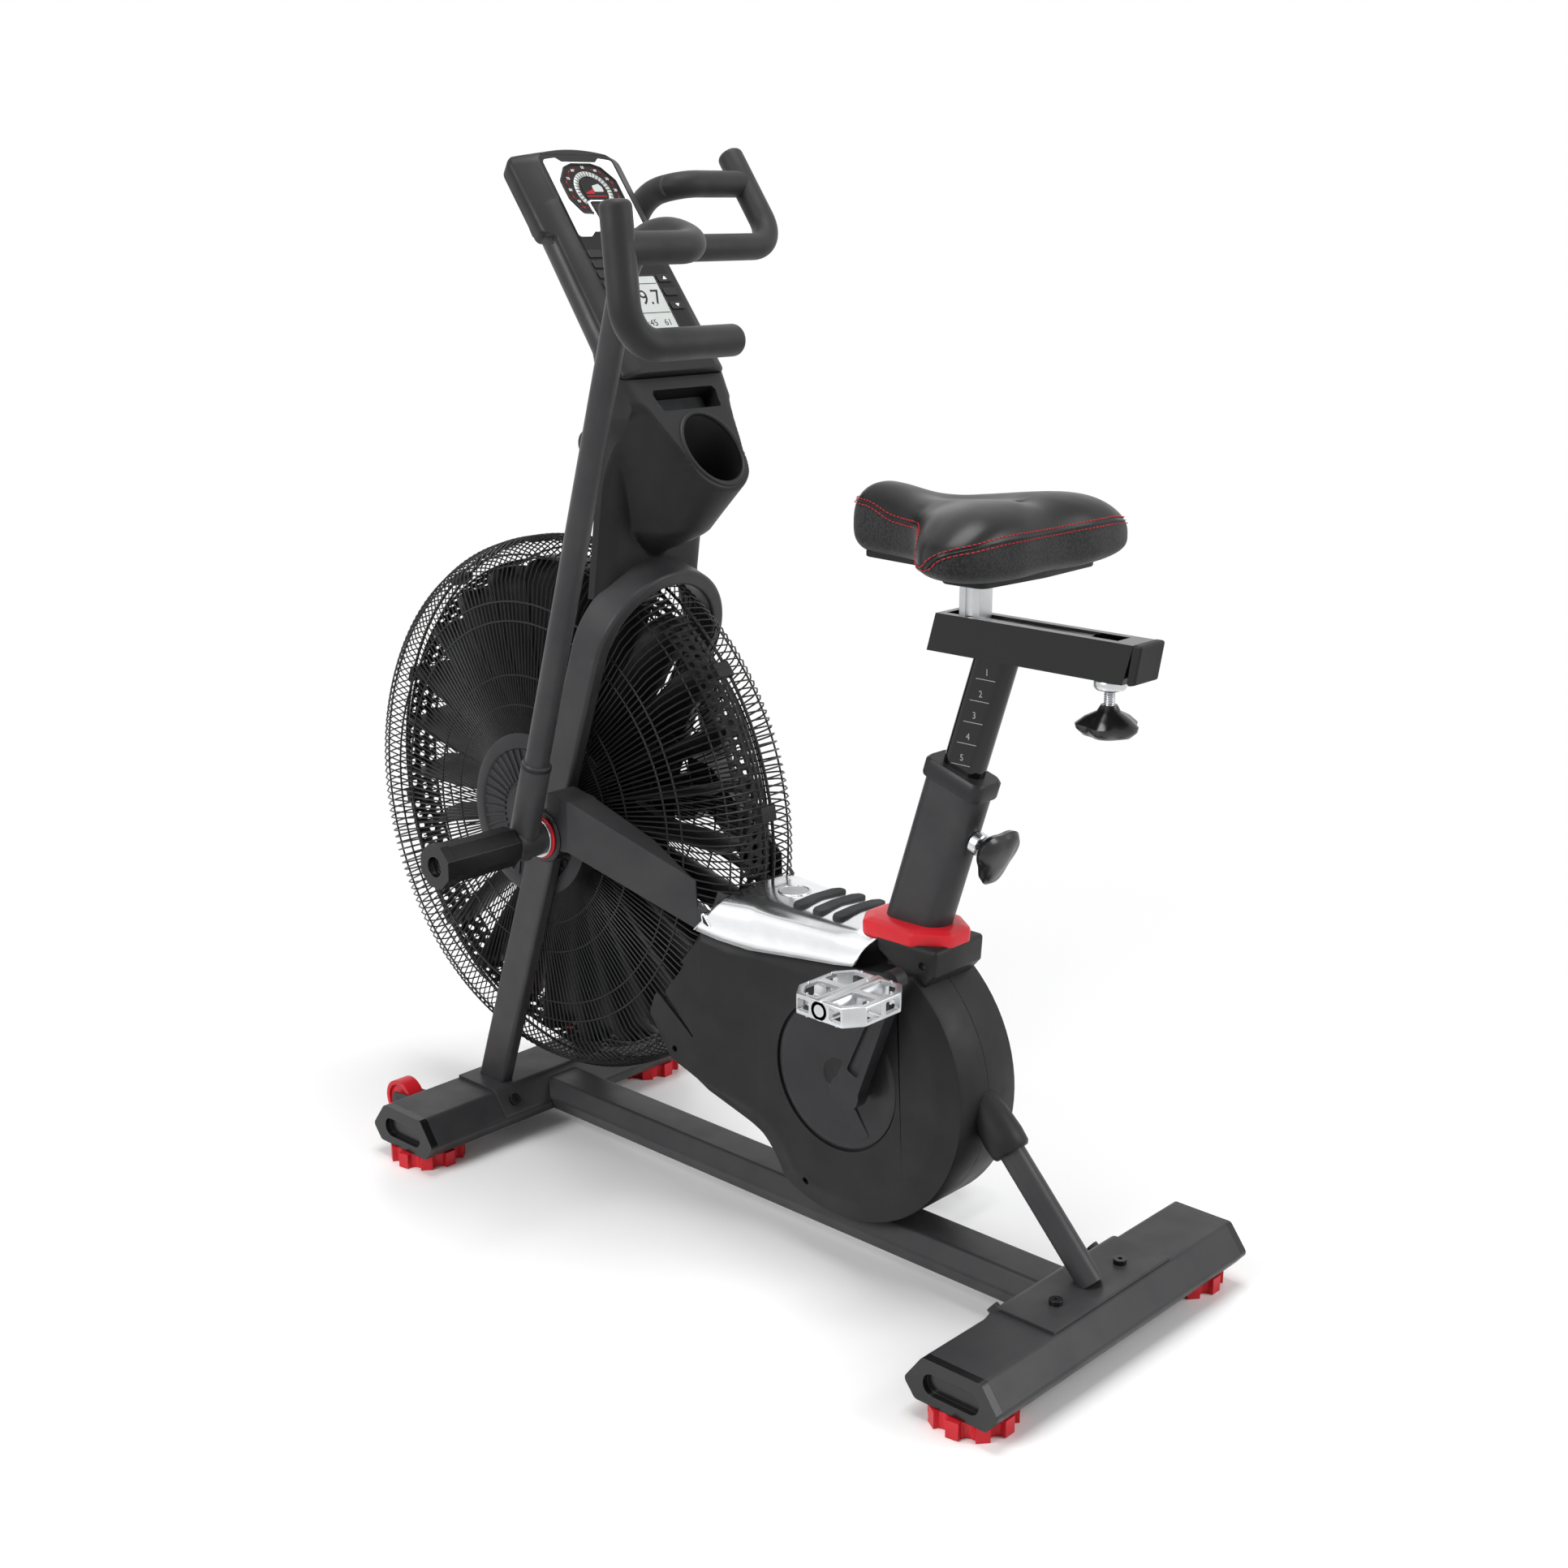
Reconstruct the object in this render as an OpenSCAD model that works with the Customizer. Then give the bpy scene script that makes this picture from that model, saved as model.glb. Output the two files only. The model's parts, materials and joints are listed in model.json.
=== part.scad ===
// Air bike: a fan-resistance exercise bike with swinging arms.
// Millimetres. X runs to the rear (rider faces -X), Y to the rider's right, Z up.
// Origin: on the floor, at the middle of the bike's length and width.

/* [Base] */
// Distance between the centres of the two stabilisers
beam_spacing = 955; // [900:1:1150]
// Length of each stabiliser with its end caps
beam_length = 500; // [420:1:600]
// Widest part of a stabiliser's section
beam_width = 130; // [110:1:156]
// Flat on top of a stabiliser's section
beam_top_width = 80; // [66:1:96]
// Flat under a stabiliser's section
beam_bottom_width = 98; // [82:1:108]
// Height of a stabiliser's section
beam_height = 54; // [45:1:65]
// Underside of the stabilisers above the floor
beam_clearance = 22; // [20:1:27]
// Wall of the stabilisers and of the base rail
beam_wall = 3; // [2:0.5:4]
// Width of the base rail
rail_width = 76; // [64:1:91]
// Height of the base rail
rail_height = 46; // [38:1:48]
// Thickness of the folded bracket plates
bracket_plate = 4; // [3:0.5:5]
// Radius of a levelling foot over its lobes
foot_radius = 50; // [42:1:60]
// Number of lobes round a levelling foot
foot_lobes = 9; // [6:1:12]
// Distance of a foot's centre from the end of its stabiliser
foot_inset = 42; // [36:1:60]
// Radius of a transport wheel
wheel_radius = 28; // [23:1:33]
// Width of a transport wheel
wheel_width = 24; // [20:1:29]

/* [Fan and guard] */
// Height of the fan's axis
fan_height = 483; // [460:1:520]
// Fan axis behind the front stabiliser's centre
fan_setback = 91; // [70:1:110]
// Radius of the wire guard over its rim
guard_radius = 367; // [320:1:390]
// Half thickness of the guard at its flat faces
guard_half = 78; // [70:1:80]
// Half thickness of the guard at its hub caps
guard_hub_half = 82; // [80:0.5:82]
// Radius of the rounded rim, measured along the guard's radius
rim_depth = 66; // [50:1:75]
// Thickness of the guard's wires
wire = 2.6; // [2:0.1:4]
// Spokes drawn in each half of the guard
guard_spokes = 24; // [24:6:48]
// Radius of the hub cap
cap_radius = 112; // [90:1:130]
// Radius of the fan over its rim band
fan_radius = 345; // [290:1:350]
// Number of fan blades
fan_blades = 26; // [18:1:30]
// Width of a blade along the axis
blade_width = 66; // [50:1:70]

/* [Frame] */
// Section of an upright along the bike
upright_depth = 50; // [44:1:62]
// Section of an upright across the bike
upright_width = 20; // [17:1:22]
// Lean of the uprights to the rear, in degrees
upright_lean = 19.9; // [18:0.1:21]
// Outer face of an upright at its foot, from the middle
upright_foot_y = 96; // [93:0.5:100]
// Outer face of an upright where the arch starts, from the middle
upright_top_y = 111; // [108:1:118]
// Height at which the arch starts
arch_start = 731; // [715:1:760]
// Arm pivot behind the front stabiliser's centre
pivot_setback = 195; // [190:1:205]
// Height of the arm pivots
pivot_height = 490; // [480:1:500]
// Outer side of a link housing, from the middle
housing_outer = 148; // [144:1:152]
// Inner side of a link housing, from the middle
housing_inner = 104; // [98:1:106]
// Outer radius of a pivot boss
boss_radius = 33; // [32:0.5:36]
// Radius of a foot peg across its flats
peg_radius = 27; // [24:1:30]
// End of a foot peg, from the middle
peg_end = 324; // [300:1:340]

/* [Arms] */
// Radius of the arm tube
arm_tube = 15.5; // [14:0.5:17]
// Radius of the arm's lower sleeve
arm_sleeve = 18; // [17.5:0.5:20]
// Middle of an arm, from the middle of the bike
arm_y = 183; // [180:1:190]
// Height on the arm at which it bends to the rear
arm_bend = 720; // [640:1:780]
// Outer grip bar, from the middle of the bike
grip_y = 307; // [290:1:320]
// Radius of the foam grips
foam = 17; // [16.5:0.5:20]
// Rear lean of the left arm at rest, in degrees
arm_rest_left = 16.4; // [14:0.1:17]
// Rear lean of the right arm at rest, in degrees
arm_rest_right = -13.3; // [-14:0.1:-11]
// Throw of the link pin from the arm's axis
link_throw = 21; // [18:1:22]
// Radius of a link rod
link_rod = 6; // [5:0.5:6.5]

/* [Drive] */
// Crank axis behind the front stabiliser's centre
crank_setback = 665; // [650:1:680]
// Height of the crank axis
crank_height = 258; // [250:1:268]
// Crank length
crank_length = 172; // [160:1:178]
// Angle of the left crank at rest, from straight up to the rear
crank_angle = 22.9; // [0:0.1:45]
// Pitch radius of the crank pulley
pulley_radius = 112; // [96:1:118]
// Pitch radius of the fan pulley
fan_pulley = 20; // [18:1:28]
// Middle of the belt, from the middle of the bike
belt_y = 47; // [46:0.5:48]
// Width of the belt
belt_width = 14; // [10:1:15]
// Radius of the crank axle
axle_radius = 15; // [12:0.5:17]
// Length of a pedal along the bike
pedal_length = 100; // [84:1:112]
// Width of a pedal across the bike
pedal_width = 104; // [88:1:112]
// Radius of a pedal spindle
spindle_radius = 7; // [6:0.5:8]
// Centre of the round shroud behind the front stabiliser's centre
shroud_setback = 618; // [612:1:624]
// Height of the centre of the round shroud
shroud_height = 256; // [254:1:262]
// Radius of the round shroud
shroud_radius = 190; // [188:1:196]
// Half width of the shroud
shroud_half = 62; // [60:1:64]
// Wall of the plastic covers
shell = 3; // [2:0.5:3.5]

/* [Seat] */
// Seat tube's foot behind the front stabiliser's centre
seat_setback = 694; // [688:1:700]
// Height of the seat tube's foot
seat_foot = 449; // [444:1:455]
// Lean of the seat tube to the rear, in degrees
seat_lean = 17.3; // [15:0.1:19]
// Length of the seat tube
seat_tube_length = 214; // [190:1:236]
// Section of the seat tube along the bike
seat_tube_depth = 84; // [72:1:92]
// Section of the seat tube across the bike
seat_tube_width = 48; // [42:1:54]
// Section of the seat post along the bike
post_depth = 55; // [46:1:62]
// Section of the seat post across the bike
post_width = 28; // [23:1:34]
// Length of the seat post that shows
post_show = 145; // [121:1:174]
// Distance between two height holes
post_pitch = 27; // [24:1:30]
// Length of the seat rail
seat_rail_length = 262; // [230:1:290]
// Height of the seat rail
seat_rail_height = 44; // [40:1:50]
// Width of the seat rail
seat_rail_width = 44; // [40:1:50]
// Length of the saddle
saddle_length = 284; // [250:1:320]
// Width of the saddle
saddle_width = 340; // [290:1:380]
// Height of the saddle
saddle_height = 84; // [72:1:98]

/* [Mast and console] */
// Radius of the mast tube
mast_radius = 21; // [18:0.5:24]
// Height at which the mast bends
mast_bend = 1098; // [1080:1:1110]
// Height of the console's top edge
console_top = 1328; // [1310:1:1345]
// Length of the console's face
console_length = 325; // [318:1:330]
// Width of the console
console_width = 184; // [176:1:196]
// Width of the raised face
face_width = 124; // [116:1:132]
// Radius of the cup holder's bore
cup_radius = 42; // [36:0.5:44]
// Depth of the cup holder
cup_depth = 120; // [100:1:135]

/* [Fits] */
// Radial clearance of a running fit
run = 0.05; // [0.02:0.01:0.1]
// Gap between parts that move past each other
gap = 0.5; // [0.4:0.1:1]

/* [Hidden] */
$fn = 64;

// Paint
PAINT = "#4a4b4d";
PLASTIC = "#262628";
STEEL = "#b9bcc0";
RED = "#c0202a";
FOAM = "#2b2b2d";

// Places along the bike
front_x = -(fan_setback - guard_radius + beam_spacing + beam_width / 2) / 2;
rear_x = front_x + beam_spacing;
fan_x = front_x + fan_setback;
pivot_x = front_x + pivot_setback;
crank_x = front_x + crank_setback;
shroud_x = front_x + shroud_setback;
seat_x = front_x + seat_setback;
beam_top = beam_clearance + beam_height;
beam_wide_z = beam_clearance + 20;
foot_y = beam_length / 2 - foot_inset;

// ---------- helpers ----------

function unit(v) = v / norm(v);
// Corner b of the outline a, b, c, rounded to radius r
function corner(a, b, c, r, n) =
  let (u = unit(a - b), v = unit(c - b), half = acos(u * v) / 2,
       o = b + unit(u + v) * r / sin(half),
       s = b + u * r / tan(half) - o, e = b + v * r / tan(half) - o,
       a0 = atan2(s[1], s[0]), d = atan2(s[0] * e[1] - s[1] * e[0], s * e))
  [for (i = [0 : n]) o + r * [cos(a0 + d * i / n), sin(a0 + d * i / n)]];
// Outline with every corner rounded to radius r
function rounded(p, r, n = 5) =
  [for (i = [0 : len(p) - 1])
    each corner(p[(i + len(p) - 1) % len(p)], p[i], p[(i + 1) % len(p)], r, n)];
function box_points(w, h) = [[-w / 2, -h / 2], [w / 2, -h / 2], [w / 2, h / 2], [-w / 2, h / 2]];

// A 2D outline in X and Z, extruded from y0 to y1
module slab(y0, y1) translate([0, y1, 0]) rotate([90, 0, 0]) linear_extrude(y1 - y0) children();
// A round bar along Y
module ybar(r, y0, y1) translate([0, y0, 0]) rotate([-90, 0, 0]) cylinder(r = r, h = y1 - y0);
// A round bar between two points
module bar(a, b, r) {
  d = b - a;
  translate(a) rotate([0, acos(d[2] / norm(d)), atan2(d[1], d[0])]) cylinder(r = r, h = norm(d));
}
// Both sides of the bike
module both() {
  children();
  mirror([0, 1, 0]) children();
}
// ---------- base ----------

function beam_points(g) = [
  [-beam_bottom_width / 2 - g * 0.6, beam_clearance - g], [beam_bottom_width / 2 + g * 0.6, beam_clearance - g],
  [beam_width / 2 + g, beam_wide_z], [beam_top_width / 2 + g * 0.6, beam_top + g],
  [-beam_top_width / 2 - g * 0.6, beam_top + g], [-beam_width / 2 - g, beam_wide_z]];
cap_length = 12;
tube_half = beam_length / 2 - cap_length;
stud_radius = 5;
nut_height = 12;
bolt_radius = 4;
bolt_slack = 0.3;
head_radius = 8;
side_bolt_y = 98;
side_bolt_z = 60;
top_bolt_y = 64;
// Lean of a stabiliser's upper side from straight up
side_lean = atan((beam_width - beam_top_width) / 2 / (beam_top - beam_wide_z));

module beam_outline(g) polygon(rounded(beam_points(g), 7 + g));

module side_bolt_place(x, side) {
  // on the sloping upper side, half way up
  sx = beam_top_width / 2 + (beam_top - side_bolt_z) * tan(side_lean);
  for (y = [-side_bolt_y, side_bolt_y])
    translate([x + side * sx, y, side_bolt_z]) rotate([0, side * (90 - side_lean), 0]) children();
}

module stabiliser(x, side) difference() {
  union() {
    difference() {
      translate([x, 0, 0]) slab(-tube_half, tube_half) beam_outline(0);
      translate([x, 0, 0]) slab(-tube_half - 1, tube_half + 1) beam_outline(-beam_wall);
    }
    for (y = [-foot_y, foot_y]) translate([x, y, beam_clearance + beam_wall - 0.2])
      cylinder(r = 2 * stud_radius, h = nut_height, $fn = 6);
  }
  for (y = [-foot_y, foot_y]) translate([x, y, 0]) cylinder(r = stud_radius + run, h = beam_top - 12);
  side_bolt_place(x, side) translate([0, 0, -30]) cylinder(r = bolt_radius + bolt_slack, h = 60);
}

wheel_y = 170;
wheel_x = front_x - beam_width / 2 - wheel_radius - 5;
wheel_z = beam_wide_z + 2;
fork_plate = 3;
module wheel_fork(s) {
  for (k = [-1, 1]) translate([0, s * wheel_y + k * (wheel_width / 2 + gap + fork_plate / 2), 0])
    slab(-fork_plate / 2, fork_plate / 2)
      polygon([[front_x - beam_width / 2 + 2, beam_wide_z - 8],
        [front_x - beam_width / 2 + 10, beam_wide_z + 18],
               [wheel_x - 6, wheel_z + 11], [wheel_x - 12, wheel_z], [wheel_x - 6, wheel_z - 11]]);
  translate([wheel_x, s * wheel_y, wheel_z]) ybar(5, -wheel_width / 2 - 4, wheel_width / 2 + 4);
}
module front_stabiliser() color(PAINT) {
  stabiliser(front_x, 1);
  difference() {
    union() { wheel_fork(-1); wheel_fork(1); }
    translate([front_x, 0, 0]) slab(-tube_half, tube_half) beam_outline(0);
  }
}
module rear_stabiliser() color(PAINT) stabiliser(rear_x, -1);

module end_cap(x) translate([x, 0, 0]) difference() {
  union() {
    slab(tube_half, beam_length / 2) beam_outline(0);
    slab(tube_half - 12, tube_half) beam_outline(-beam_wall - 0.3);
  }
  // shallow hand pocket
  translate([0, 0, beam_clearance + beam_height / 2 - 2]) slab(beam_length / 2 - 8, beam_length / 2 + 1)
    polygon(rounded(box_points(76, 26), 12));
  translate([0, 0, beam_clearance + beam_height / 2 - 2]) slab(tube_half - 13, tube_half - 1)
    polygon(rounded(box_points(70, 22), 8));
}
module stabiliser_end_caps() color(PLASTIC) both() {
  end_cap(front_x);
  end_cap(rear_x);
}

rail_bottom = beam_top - 4 - rail_height;
module rail_outline(g) translate([0, rail_bottom]) polygon(rounded([
  [-rail_width * 0.34 - g, -g], [rail_width * 0.34 + g, -g], [rail_width / 2 + g, rail_height * 0.5],
  [rail_width * 0.34 + g, rail_height + g], [-rail_width * 0.34 - g, rail_height + g],
  [-rail_width / 2 - g, rail_height * 0.5]], 6 + g));
front_bracket_y = 120;
rear_bracket_y = 116;
module bracket(x, side, half) translate([x, 0, 0]) difference() {
  slab(-half, half) beam_outline(bracket_plate);
  translate([0, 0, -1]) translate([-100, -half - 1, 0]) cube([200, 2 * half + 2, side_bolt_z - 14]);
  translate([side > 0 ? -200 - beam_top_width / 2 + 2 : beam_top_width / 2 - 2, -half - 1, 0])
    cube([200, 2 * half + 2, 200]);
}
module base_rail() color(PAINT) difference() {
  union() {
    difference() {
      translate([front_x + 20, 0, 0]) rotate([90, 0, 90]) linear_extrude(beam_spacing - 40) rail_outline(0);
      translate([front_x + 75, 0, 0]) rotate([90, 0, 90]) linear_extrude(beam_spacing - 150)
        rail_outline(-beam_wall);
    }
    bracket(front_x, 1, front_bracket_y);
    bracket(rear_x, -1, rear_bracket_y);
  }
  for (x = [front_x, rear_x]) translate([x, 0, 0]) slab(-200, 200) beam_outline(0);
  side_bolt_place(front_x, 1) translate([0, 0, -30]) cylinder(r = bolt_radius + bolt_slack, h = 60);
  side_bolt_place(rear_x, -1) translate([0, 0, -30]) cylinder(r = bolt_radius + bolt_slack, h = 60);
}

// A socket-head bolt standing on z = 0
module bolt(shank) {
  difference() {
    cylinder(r = head_radius, h = 6);
    translate([0, 0, 2.5]) cylinder(r = 3, h = 5, $fn = 6);
  }
  if (shank > 0) translate([0, 0, -shank]) cylinder(r = bolt_radius, h = shank);
}
module frame_bolts() color(PLASTIC) {
  side_bolt_place(front_x, 1) translate([0, 0, bracket_plate + 0.6]) bolt(12);
  side_bolt_place(rear_x, -1) translate([0, 0, bracket_plate + 0.6]) bolt(12);
  for (y = [-top_bolt_y, top_bolt_y]) translate([rear_x + 3, y, beam_top + bracket_plate]) bolt(0);
}

// ---------- levelling feet and wheels ----------

module foot(x, y) color(RED) translate([x, y, 0]) {
  difference() {
    cylinder(r = foot_radius - 6, h = beam_clearance - gap - 1);
    for (i = [0 : foot_lobes - 1]) rotate([0, 0, (i + 0.5) * 360 / foot_lobes])
      translate([foot_radius, 0, -1]) cylinder(r = 9, h = beam_clearance);
  }
  difference() {
    for (i = [0 : foot_lobes - 1]) rotate([0, 0, i * 360 / foot_lobes]) translate([foot_radius - 12, -8, 0])
      cube([12, 16, beam_clearance - gap - 1]);
    cylinder(r = foot_radius - 8, h = beam_clearance);
  }
  translate([0, 0, 0]) cylinder(r = stud_radius, h = beam_clearance + beam_wall + nut_height + 4);
}

module wheel(s) color(RED) translate([wheel_x, s * wheel_y, wheel_z]) difference() {
  ybar(wheel_radius, -wheel_width / 2, wheel_width / 2);
  ybar(5 + run, -wheel_width, wheel_width);
  for (k = [-1, 1]) translate([0, k * wheel_width / 2, 0]) difference() {
    ybar(wheel_radius - 6, -4, 4);
    ybar(10, -6, 6);
  }
}

// ---------- uprights and arch ----------

upright_y0 = upright_foot_y - upright_width / 2;
upright_y1 = upright_top_y - upright_width / 2;
frame_foot = beam_top + bracket_plate;
foot_shift = 3;
arch_u = (arch_start - frame_foot) / cos(upright_lean);
splay = atan((upright_y1 - upright_y0) / arch_u);
tube_wall = 2;

module upright_outline(g)
  polygon(rounded(box_points(upright_depth + 2 * g, upright_width + 2 * g), 5 + g));
module lean_frame() translate([front_x + foot_shift, 0, frame_foot]) rotate([0, upright_lean, 0])
  children();
// The left upright as one solid, grown by g
module upright_solid(g) intersection() {
  lean_frame() translate([0, -upright_y0, 0]) rotate([splay, 0, 0]) translate([0, 0, -60])
    linear_extrude(arch_u + 100) upright_outline(g);
  difference() {
    translate([front_x - 300, -300, frame_foot]) cube([900, 600, 900]);
    lean_frame() translate([-200, -400, arch_u]) cube([400, 800, 400]);
  }
}
module left_upright() color(PAINT) difference() {
  upright_solid(0);
  lean_frame() translate([0, -upright_y0, 0]) rotate([splay, 0, 0]) translate([0, 0, -60])
    linear_extrude(arch_u + 100) upright_outline(-tube_wall);
}
module right_upright() mirror([0, 1, 0]) left_upright();

module arch_ring(g, a) rotate([0, 0, -a]) rotate_extrude(angle = 180 + 2 * a, $fn = 96)
  translate([upright_y1, 0]) rotate(90) upright_outline(g);
module arch_solid(g) lean_frame() translate([0, 0, arch_u]) rotate([90, 0, 90]) arch_ring(g, 0);
module frame_arch() color(PAINT) lean_frame() translate([0, 0, arch_u]) rotate([90, 0, 90])
  difference() {
    arch_ring(0, 0);
    arch_ring(-tube_wall, 1);
  }

// ---------- guard ----------

// Outer profile of one half of the guard: distance from the axis, distance from the middle
shoulder = guard_radius - rim_depth;
lip_y = 5;
cap_plate = 2;
function guard_curve(g, n) = concat(
  [[0, guard_hub_half - cap_plate + g], [cap_radius, guard_hub_half - cap_plate + g]],
  [for (i = [0 : n]) let (a = 90 - 90 * i / n)
    [shoulder + (rim_depth + g) * cos(a), guard_half - rim_depth + (rim_depth + g) * sin(a)]],
  [[guard_radius + g, lip_y]]);
module about_fan() translate([fan_x, 0, fan_height]) rotate([90, 0, 0]) children();
// The room the guard takes, grown by g
module guard_room(g) about_fan() {
  for (k = [0, 1]) mirror([0, 0, k]) rotate_extrude($fn = 72)
    polygon(concat(guard_curve(g, 6), [[guard_radius + g, -1], [0, -1]]));
}
// One spoke in the plane of the axis, as wide as the wire is thick
module spoke() rotate([90, 0, 0]) translate([0, 0, -wire / 2]) linear_extrude(wire)
  polygon(concat(
    [for (p = guard_curve(0, 6)) if (p[0] > 1) p[0] == cap_radius ? [p[0] - 14, p[1]] : p],
    [for (i = [0 : 8]) let (q = guard_curve(-wire, 6), p = q[len(q) - 1 - i])
      p[0] == cap_radius ? [p[0] - 14, p[1]] : p]));
module ring(r, y, w) rotate_extrude($fn = 72) translate([r - w, y - w]) square(2 * w);
hub_ring = cap_radius - 10;
dome_slope = (guard_hub_half - cap_plate - guard_half) / (shoulder - cap_radius);
module guard_half_cage() {
  for (i = [0 : guard_spokes - 1]) rotate([0, 0, (i + 0.5) * 360 / guard_spokes]) spoke();
  ring(guard_radius - wire, lip_y + 3, 3);
  for (r = [190, 262, 288]) ring(r, guard_half - wire - 2 + (shoulder - r) * dome_slope, 2.5);
  // flat hub ring the cap sits on
  rotate_extrude($fn = 72) translate([hub_ring - 18, guard_hub_half - cap_plate - 3]) square([20, 3]);
}
belt_lean = atan2(crank_height - fan_height, crank_x - fan_x);
belt_span = norm([crank_height - fan_height, crank_x - fan_x]);
module left_guard() color(PLASTIC) about_fan() guard_half_cage();
module right_guard() color(PLASTIC) about_fan() {
  difference() {
    mirror([0, 0, 1]) guard_half_cage();
    // window where the belt runs in
    rotate([0, 0, belt_lean]) translate([guard_radius - rim_depth - 20, -104, -guard_half + 6])
      cube([200, 208, 40]);
  }
  // clips over the two rim rings
  for (i = [0 : 11]) rotate([0, 0, i * 30]) translate([guard_radius - wire, -9, 0])
    translate([-3, 0, -lip_y - 1]) cube([6, 18, 2 * lip_y + 1]);
}
module hub_caps() color(PLASTIC) both() translate([fan_x, 0, fan_height]) difference() {
  union() {
    ybar(cap_radius, -guard_hub_half, -guard_hub_half + cap_plate);
    ybar(hub_ring - 20, -guard_hub_half, -guard_hub_half + 8);
  }
  // way through for the bracket from the upright
  translate([upright_gap_x - fan_x - 17, -guard_hub_half - 3, -17]) cube([34, 14, 34]);
}

// ---------- fan ----------

fan_axle = 8;
fan_hub = 24;
module fan() color(PLASTIC) translate([fan_x, 0, fan_height]) difference() {
  union() {
    ybar(fan_hub, -blade_width / 2 - 3, blade_width / 2 + 3);
    ybar(fan_pulley - 0.3, blade_width / 2 + 2, belt_y + belt_width / 2);
    for (i = [0 : fan_blades - 1]) rotate([0, i * 360 / fan_blades, 0])
      translate([fan_hub - 3, 0, 0]) rotate([35, 0, 0])
        translate([0, -blade_width / 2, -0.75]) cube([fan_radius - fan_hub - 3, blade_width, 1.5]);
    // rim bands on both sides
    for (k = [-1, 1]) difference() {
      ybar(fan_radius, k * blade_width * 0.41 - 1, k * blade_width * 0.41 + 1);
      ybar(fan_radius - 46, -blade_width, blade_width);
    }
  }
  ybar(fan_axle + run, -guard_hub_half, guard_hub_half);
}

// ---------- inner frame, belt and crank ----------

upright_gap_x = front_x + foot_shift + (fan_height - frame_foot) * tan(upright_lean);
plate_y = guard_hub_half - 10;
post_size = 40;
bracket_radius = 24;
bracket_half = 36;
rail_top = rail_bottom + rail_height;
seat_tilt = atan2(seat_x - crank_x, seat_foot - crank_height);
module inner_frame() color(PAINT) {
  // drop-outs that carry the fan axle, on blocks from the uprights
  both() difference() {
    union() {
      translate([fan_x - 30, -plate_y, fan_height - 26]) cube([upright_gap_x - fan_x + 50, 5, 52]);
      translate([upright_gap_x - 15, -upright_top_y, fan_height - 15])
        cube([30, upright_top_y - plate_y, 30]);
    }
    translate([fan_x, 0, fan_height]) ybar(fan_axle, -plate_y - 10, 0);
    upright_solid(0);
    translate([upright_gap_x - 20, -200, fan_height - 20])
      cube([40, 200 - upright_foot_y + upright_width / 2 - 12, 40]);
  }
  // post on the base rail, bottom bracket and strut under the seat tube
  difference() {
    union() {
      translate([crank_x - post_size / 2, -post_size / 2, rail_top])
        cube([post_size, post_size, crank_height - rail_top]);
      translate([crank_x, 0, crank_height]) ybar(bracket_radius, -bracket_half, bracket_half);
      translate([crank_x, 0, crank_height]) rotate([0, seat_tilt, 0])
        translate([-post_size / 2, -post_size / 2, 0]) cube([post_size, post_size, 400]);
    }
    translate([crank_x - post_size / 2 + 3, -post_size / 2 + 3, rail_top - 1])
      cube([post_size - 6, post_size - 6, crank_height - rail_top - bracket_radius]);
    translate([crank_x, 0, crank_height]) rotate([0, seat_tilt, 0])
      translate([-post_size / 2 + 3, -post_size / 2 + 3, bracket_radius + 4])
        cube([post_size - 6, post_size - 6, 400]);
    translate([crank_x, 0, crank_height]) ybar(axle_radius + run, -bracket_half - 1, bracket_half + 1);
    translate([crank_x - 300, -200, seat_foot]) cube([600, 400, 300]);
    seat_frame() post_room();
  }
}

// Angle by which the straight runs open towards the larger pulley
belt_open = asin((pulley_radius - fan_pulley) / belt_span);
function belt_points(g) = concat(
  [for (i = [0 : 12]) let (a = 90 + belt_open + i * (180 - 2 * belt_open) / 12)
    (fan_pulley + g) * [cos(a), sin(a)]],
  [for (i = [0 : 36]) let (a = -90 - belt_open + i * (180 + 2 * belt_open) / 36)
    [belt_span, 0] + (pulley_radius + g) * [cos(a), sin(a)]]);
module drive_belt() color(PLASTIC) translate([fan_x, belt_y, fan_height]) difference() {
  rotate([0, -belt_lean, 0]) slab(-belt_width / 2, belt_width / 2) polygon(belt_points(3));
  rotate([0, -belt_lean, 0]) slab(-belt_width, belt_width) polygon(belt_points(0.3));
}

eye_radius = 13;
crank_inner = 77;
crank_outer = 95;
function pedal_spot(s) = [crank_x + s * crank_length * sin(crank_angle), 0,
  crank_height + s * crank_length * cos(crank_angle)];
pedal_y = 112;
module crank_arm(s) translate([crank_x, 0, crank_height])
  rotate([0, s > 0 ? crank_angle : crank_angle + 180, 0])
  difference() {
    slab(-crank_outer, -crank_inner) {
      circle(r = 22);
      translate([0, crank_length]) circle(r = eye_radius);
      polygon([[-19, 0], [19, 0], [eye_radius - 1.5, crank_length], [-eye_radius + 1.5, crank_length]]);
    }
    // pocket along the outer face
    slab(-crank_outer - 1, -crank_outer + 4)
      polygon(rounded([[-9, 30], [9, 30], [6, crank_length - 24], [-6, crank_length - 24]], 4));
  }
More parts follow.
